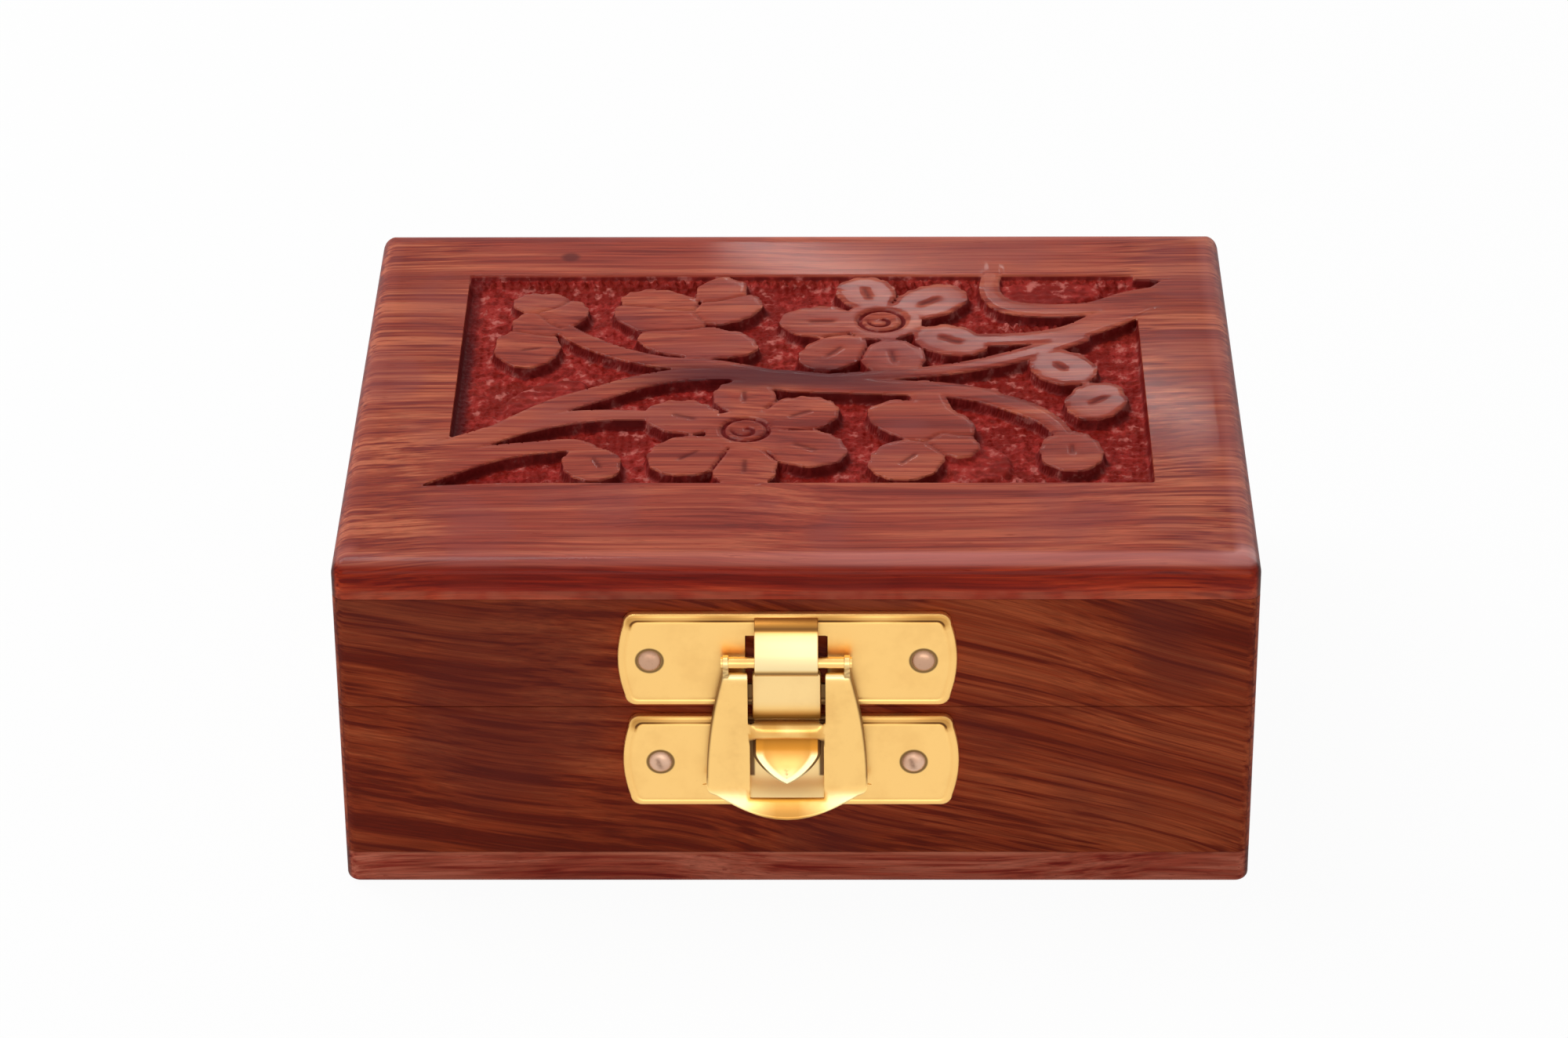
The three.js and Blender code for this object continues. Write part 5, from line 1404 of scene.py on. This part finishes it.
strap_sides = len(strap[0]) // STRAP_STATIONS
strap_marks = brass_marks(*(np.repeat(values, strap_sides) for values in wear_and_painted_light))
plate_points, plate_faces, plate_shading = plate(UPPER_FOOT, UPPER_ASIDE, True)
piece("hasp_plate_dressed", [(plate_points, plate_faces), strap], upper_brass, "lid",
      replaced=["hasp_plate"], marks=both_marks(rim_marks(plate_shading), strap_marks))
clasp_brass = metal_material("clasp brass", BRASS_CLEAN, BRASS_DULL, 0.30, 0.30)
piece("hasp_wire_dressed", [rod(-WIRE_HALF, WIRE_HALF, WIRE_OUT, WIRE_Z, WIRE_RADIUS)],
      clasp_brass, "lid", replaced=["hasp_wire"])

# Catch plate.
# The lower plate has a tongue cut and pressed out of it that slopes outwards and down to a
# blunt point, over which the hasp's lower window drops.

NOSE_HALF, NOSE_ROUND = 3.75, 1.32
NOSE_SIDE_Z, NOSE_TIP_Z = 18.7, 15.6
# Places of the tongue's middle, out from the wall and up.
NOSE_PATH = [(0.7, 20.9), (1.15, 20.2), (1.95, 19.0), (2.75, 17.4), (3.40, NOSE_TIP_Z)]
# Across the tongue from its edge: how far in, how far down from the face, how much painted shade.
NOSE_EDGE = [(0.0, 0.50, 1.0), (0.0, 0.14, 1.0), (0.05, 0.04, 1.0), (0.26, 0.0, 1.0),
             (0.38, 0.0, 0.0), (0.98, 0.02, 0.0), (1.30, 0.07, 0.0), (1.75, 0.13, 0.0),
             (2.35, 0.16, 0.0)]


def nose_tongue():
    """The tongue: a line of its middle from the plate out to the point, and at each place
    of it a section that runs from one edge over the hollowed face to the other edge and back
    underneath. Each place of the section stands a fixed way in from the edge, at most half
    the width, and the width shrinks to the point as a quarter of a superellipse."""
    line = smooth_curve(NOSE_PATH, 401)
    line = line[(400 * (1 - (1 - np.linspace(0, 1, 41)) ** 2)).astype(int)]
    down = np.clip((NOSE_SIDE_Z - line[:, 1]) / (NOSE_SIDE_Z - NOSE_TIP_Z), 0, 0.999)
    half = (NOSE_HALF * (1 - down**NOSE_ROUND) ** (1 / NOSE_ROUND))[:, None]
    along = np.gradient(line, axis=0)
    along /= np.linalg.norm(along, axis=1)[:, None]
    inward, sunk, shade_share = np.array(NOSE_EDGE).T
    side = np.concatenate([np.ones(len(inward)), [0.0], -np.ones(len(inward))])
    inward = np.concatenate([inward, [2.6], inward[::-1]])
    sunk = np.concatenate([sunk, [sunk[-1]], sunk[::-1]])
    shade_share = np.concatenate([shade_share, [shade_share[-1]], shade_share[::-1]])
    across = side * np.maximum(half - inward, 0)
    sunk = np.where(inward < 0.3, sunk, sunk * smooth(half - inward, -0.5, 0.6))
    out = line[:, 0, None] - along[:, 1, None] * (0.30 - sunk)
    z = line[:, 1, None] + along[:, 0, None] * (0.30 - sunk)
    # Painted shade along the tongue's edge and where it leaves the plate, painted amber reflection in its
    # hollow and near its root, and a painted highlight on the pale rim of its face.
    near_top = smooth(line[:, 1], 17.2, 19.8)[:, None]
    hollow = (inward > 1.0) & (half > 1.3)
    shaded = np.where(inward > 1.0, 0.10 * near_top, shade_share)
    shaded = np.maximum(shaded, 0.55 * smooth(line[:, 1], 19.9, 20.5)[:, None])
    reflected_amber = np.where(hollow, 0.25 + 0.75 * near_top, 0.0)
    reflected_amber = np.maximum(reflected_amber, smooth(line[:, 1], 18.4, 19.2)[:, None] * np.ones_like(reflected_amber))
    highlighted = np.where((inward > 0.30) & ~hollow, 0.85, 0.0) * (1 - reflected_amber)
    return lofted(on_front(across, out, z)), brass_marks(shaded, reflected_amber, highlighted)


nose, nose_marks = nose_tongue()
plate_points, plate_faces, plate_shading = plate(LOWER_FOOT, LOWER_ASIDE, False)
piece("catch_plate_dressed", [(plate_points, plate_faces), nose], lower_brass, "base",
      replaced=["catch_plate"], marks=both_marks(rim_marks(plate_shading), nose_marks))

# Hasp.
# One bell-shaped pressing of brass sheet with its sides turned back, two windows, a bulged
# bridge between them and a lip flared out for the thumb. Two ears hold it on the wire.

HASP_FACE_OUT = 2.85
HASP_BACK_OUT = 1.35
HASP_TOP_Z, HASP_WIDEST_Z, HASP_LIP_Z = 29.4, 14.8, 15.3
HASP_HALF_TOP, HASP_HALF = 7.0, 8.95
HASP_CORNER = 0.9
HASP_FOOT_RISE, HASP_FOOT_BOW = 13.9, 2.45
HASP_SHEET = 0.55
HASP_TURN = 0.30
HASP_SHOULDER = 1.2
UPPER_WINDOW, LOWER_WINDOW = 4.3, 4.1
BRIDGE_TOP, BRIDGE_FOOT, BRIDGE_BULGE = 23.0, 20.8, 0.35
LOWER_WINDOW_END = 13.5
LIP_START = 16.0
LIP_FLARE = 0.105
EAR_INNER, EAR_OUTER = 6.35, 7.0


def hasp_half_width(z):
    """Half the hasp's width: a parabola that widens from the ears to the shoulders."""
    t = np.clip((HASP_TOP_Z - z) / (HASP_TOP_Z - HASP_WIDEST_Z), 0, 1)
    return (1 - t) ** 2 * HASP_HALF_TOP + (2 * t * (1 - t) + t**2) * HASP_HALF


def hasp_foot(x):
    """Height of the hasp's lower edge: a parabola between corners of quarter circles."""
    straight = HASP_HALF - HASP_CORNER
    corner = np.clip((np.abs(x) - straight) / HASP_CORNER, 0, 1)
    bow = HASP_FOOT_RISE - HASP_FOOT_BOW * (1 - np.clip(np.abs(x) / straight, 0, 1) ** 2)
    return np.where(corner > 0, HASP_WIDEST_Z - HASP_CORNER * np.sqrt(1 - corner**2), bow)


def hasp_shading_marks(x, z, from_edge, fade):
    """Marks on the hasp: painted shade along its turned edge, along the bridge and in the
    middle of the lip, painted amber reflection on the bridge, in the middle of the lip and at
    the lower window's end, and a painted highlight along its top by the ears and on the lip's sides."""
    aside = np.abs(x)
    bridge = 0.9 * smooth(z, BRIDGE_FOOT + 0.55, BRIDGE_FOOT)
    bridge = bridge + 0.8 * smooth(z, BRIDGE_TOP - 0.3, BRIDGE_TOP)
    bridge = bridge * ((z < BRIDGE_TOP + 0.1) & (z > BRIDGE_FOOT - 0.1))
    bridge = bridge * (aside < LOWER_WINDOW + 0.1)
    lip_shade = 0.16 * smooth(aside, 5.0, 1.5) * smooth(z, 13.7, 12.7)
    grime_and_shade = 0.8 * smooth(from_edge, 0.30, 0.04) * fade + bridge + lip_shade
    on_bridge = (aside < LOWER_WINDOW + 0.1) * smooth(z, 20.5, 20.9) * smooth(z, 23.2, 22.8)
    blotch = 0.5 + 0.5 * np.sin(x * 1.3 + 1.0) * np.sin(z * 1.9 + x * 0.4)
    lip_reflection = 0.75 * smooth(aside, 3.8, 1.0) * smooth(z, 13.7, 13.1)
    window_foot = 0.9 * smooth(aside, 4.6, 4.2) * smooth(z, 13.0, 13.3) * smooth(z, 14.2, 13.9)
    amber_reflection = 0.75 * on_bridge * blotch + lip_reflection + window_foot
    painted_highlight = 0.7 * smooth(z, 28.5, 29.2) + 0.6 * smooth(z, 14.6, 13.6) * smooth(aside, 3.4, 5.2)
    return brass_marks(*(np.clip(values, 0, 1) for values in (grime_and_shade, amber_reflection, painted_highlight)))


def hasp_sheet():
    """The outer face of the pressing over rows down it and columns across it. Columns run
    from the windows' edges to the outline and then round the turned edge; rows below the
    lip's start share out the height to the curved foot. The face steps back by a bevel near
    the outline, the bridge is half a cylinder, and the lip flares with the square of its
    length."""
    shoulder = np.linspace(0, 1, 6)
    down_bridge = (1 - np.cos(np.linspace(0, np.pi, 15))[1:]) / 2
    rows = np.concatenate([HASP_TOP_Z - HASP_SHOULDER * shoulder**2,
                           np.linspace(HASP_TOP_Z - HASP_SHOULDER, BRIDGE_TOP, 9)[1:],
                           BRIDGE_TOP - (BRIDGE_TOP - BRIDGE_FOOT) * down_bridge,
                           np.linspace(BRIDGE_FOOT, LIP_START, 7)[1:]])
    set_back = np.concatenate([0.6 * (1 - shoulder) ** 2, np.zeros(len(rows) - len(shoulder))])
    lip_window, lip_edge = np.linspace(0, 0.5, 6)[1:], np.linspace(0.5, 1, 9)[1:]
    lip = np.concatenate([lip_window, lip_edge])
    middle = np.array([-1, -0.93, -0.86, -0.8, -0.6, -0.3, 0, 0.3, 0.6, 0.8, 0.86, 0.93, 1.0])
    leg = np.array([0.04, 0.12, 0.3, 0.5, 0.68, 0.76, 0.80, 0.84, 0.92, 0.97, 1.0])
    turned = np.radians([18, 36, 54, 72, 90])
    count_turn = len(turned) + 1

    def across(half, window):
        legs = window + leg[None] * (half - HASP_TURN - window)
        turn = half - HASP_TURN + HASP_TURN * np.sin(turned)[None]
        outer = np.concatenate([legs, turn, np.broadcast_to(half, (len(half), 1))], axis=1)
        return np.concatenate([-outer[:, ::-1], window * middle[None], outer], axis=1)

    blend = np.clip((rows - BRIDGE_FOOT) / (BRIDGE_TOP - BRIDGE_FOOT), 0, 1)
    window = LOWER_WINDOW + (UPPER_WINDOW - LOWER_WINDOW) * blend
    half = hasp_half_width(rows)
    x = across(half[:, None], window[:, None])
    z = np.broadcast_to(rows[:, None], x.shape)
    lip_line = across(np.array([[HASP_HALF]]), np.array([[LOWER_WINDOW]]))
    lip_x = np.broadcast_to(lip_line, (len(lip), x.shape[1]))
    foot = hasp_foot(lip_x)
    settle = np.clip((np.abs(lip_x) - LOWER_WINDOW - 0.2) / 1.5, 0, 1)
    window_end = foot + 0.5 * (LIP_START - foot) - LOWER_WINDOW_END
    window_end = LOWER_WINDOW_END + window_end * settle
    share = lip[:, None]
    lip_z = np.where(share <= 0.5, LIP_START + 2 * share * (window_end - LIP_START),
                     window_end + (2 * share - 1) * (foot - window_end))
    x = np.concatenate([x, lip_x])
    z = np.concatenate([z, lip_z])

    fade = np.concatenate([np.ones(len(rows)), 1 - lip])[:, None]
    back = np.concatenate([set_back, np.zeros(len(lip))])[:, None]
    half_here = np.concatenate([half, np.full(len(lip), HASP_HALF)])[:, None]
    from_edge = half_here - np.abs(x)
    out = HASP_FACE_OUT - back - 0.14 * (1 - np.clip(from_edge / 0.85, 0, 1)) * fade
    out = out + LIP_FLARE * np.clip(HASP_LIP_Z - z, 0, None) ** 2
    spots = np.arange(x.shape[1])
    from_rim = np.minimum(spots, x.shape[1] - 1 - spots)
    curls = np.concatenate([turned[-1:], turned[::-1], [0.0]])
    curl = curls[np.minimum(from_rim, count_turn)][None]
    out = out - HASP_TURN * (1 - np.cos(curl)) * np.maximum(fade, 0.15)
    to_back = (out - HASP_BACK_OUT) * np.clip(fade * 1.3 - 0.3, 0, 1)
    out = np.where(from_rim[None] == 0, out - to_back, out)
    radius = (BRIDGE_TOP - BRIDGE_FOOT) / 2
    roll = np.sqrt(np.clip(radius**2 - (z - BRIDGE_FOOT - radius) ** 2, 0, None))
    bulge = smooth((LOWER_WINDOW - np.abs(x)) / 0.9, 0, 1)
    bulge = bulge * ((z <= BRIDGE_TOP) & (z >= BRIDGE_FOOT))
    out = out + bulge * (roll - radius + BRIDGE_BULGE)

    row, column = np.arange(x.shape[0] - 1)[:, None], np.arange(x.shape[1] - 1)[None]
    mid_z = (z[:-1, :-1] + z[1:, 1:]) / 2
    side = len(leg) + count_turn
    in_window = (column >= side) & (column < side + len(middle) - 1)
    above_end = row < len(rows) - 1 + len(lip_window)
    open_row = (mid_z > BRIDGE_TOP) | ((mid_z < BRIDGE_FOOT) & above_end)
    kept = grid_faces(*x.shape)[~(in_window & open_row)]
    return (on_front(x, out, z).reshape(-1, 3), [kept]), hasp_shading_marks(x, z, from_edge, fade)


def ear(x0, x1):
    """A washer round the wire: a rectangle with softened corners turned about the wire."""
    angle = np.linspace(0, 2 * np.pi, 28, endpoint=False)
    section = np.array([(x0, 0.66), (x0, 0.76), (x0 + 0.07, 0.82), (x1 - 0.07, 0.82),
                        (x1, 0.76), (x1, 0.66)])
    x, radius = section.T
    return looped(on_front(x[None], WIRE_OUT + radius[None] * np.cos(angle)[:, None],
                           WIRE_Z + radius[None] * np.sin(angle)[:, None]))


hasp_part, hasp_marks = hasp_sheet()
hasp = piece("hasp_dressed", [hasp_part], clasp_brass, "hasp", replaced=["hasp"],
             marks=hasp_marks)
wall = hasp.modifiers.new("sheet", "SOLIDIFY")
wall.thickness = HASP_SHEET * 0.001
wall.offset = -1.0
wall.use_even_offset = True
ears = [ear(-EAR_OUTER, -EAR_INNER), ear(EAR_INNER, EAR_OUTER)]
stem = smooth_curve([(2.55, 30.1), (2.62, 29.6), (2.5, 29.0)], 6)
points, faces = carried(stem, np.full(len(stem), 0.33), 0.5, corner=0.1)
for side in (-1, 1):
    ears.append((points + np.array([side * 6.68, 0, 0]), faces))
ear_points = np.concatenate([points for points, _ in ears])
# Painted shade on the ears, darker below the wire, and a faint painted highlight over them.
ear_shade = 0.45 + 0.25 * np.sin(5 * ear_points[:, 0] + 9 * ear_points[:, 2])
ear_shade = ear_shade * smooth(ear_points[:, 2], 31.1, 30.1)
piece("hasp_ears", ears, clasp_brass, "hasp",
      marks=brass_marks(ear_shade, 0 * ear_shade, 0 * ear_shade + 0.3))

# Clasp nails.
# Four domed nails with plated heads, driven through the plates into the front walls. The
# lower pair was set with a punch that left a mark across each head.

NAIL_STEEL = (0.58, 0.34, 0.22, 1)
NAIL_DULL = (0.20, 0.09, 0.06, 1)
NAIL_BRIGHT = (0.74, 0.48, 0.34, 1)
NAIL_HEAD = 1.39
NAIL_SEAT = 0.55
nail_metals = {"hasp": metal_material("nail steel", NAIL_STEEL, NAIL_DULL, 1.0, 0.36),
               "catch": metal_material("bright nail steel", NAIL_BRIGHT, NAIL_STEEL, 0.9, 0.36)}


def clasp_nail(x, z, marked):
    """A nail turned about its axis: a domed head on a shank with a point, and its darkening of
    dirt and painted shade, which lies round the head's rim and in the mark, a bell-shaped
    groove over the head along a slanting line."""
    profile = np.array([(0.0, 0.95), (0.30, 0.94), (0.60, 0.90), (0.88, 0.82), (1.10, 0.70),
                        (1.26, 0.54), (1.36, 0.35), (NAIL_HEAD, 0.12), (1.36, 0.0), (0.6, 0.0),
                        (0.6, -4.6), (0.0, -5.9)])
    angle = np.linspace(0, 2 * np.pi, 36, endpoint=False)
    radius = profile[:, 0, None]
    height = np.broadcast_to(profile[:, 1, None], (len(profile), len(angle)))
    across, up = radius * np.cos(angle), radius * np.sin(angle)
    shade_and_dirt = 0.40 * smooth(radius, 1.05, 1.36) + np.zeros_like(across)
    if marked:
        groove = bell(across * 0.94 + up * 0.34 + 0.15, 0, 0.26) * (height > 0.3)
        groove = groove * smooth(np.abs(up - 0.2 * across), 0.9, 0.4)
        height = height - 0.10 * groove
        shade_and_dirt = np.maximum(shade_and_dirt, 0.60 * groove)
    return lofted(on_front(x + across, NAIL_SEAT + height, z + up)), shade_and_dirt.ravel()


for owner, body, places in (("hasp", "lid", UPPER_NAILS), ("catch", "base", LOWER_NAILS)):
    for hand, (x, z) in zip(("left", "right"), places):
        name = f"{owner}_plate_nail_{hand}"
        nail, nail_shade_and_dirt = clasp_nail(x, z, owner == "catch")
        piece(f"{name}_dressed", [nail], nail_metals[owner], body, replaced=[name],
              marks={"grime_and_shade": nail_shade_and_dirt})
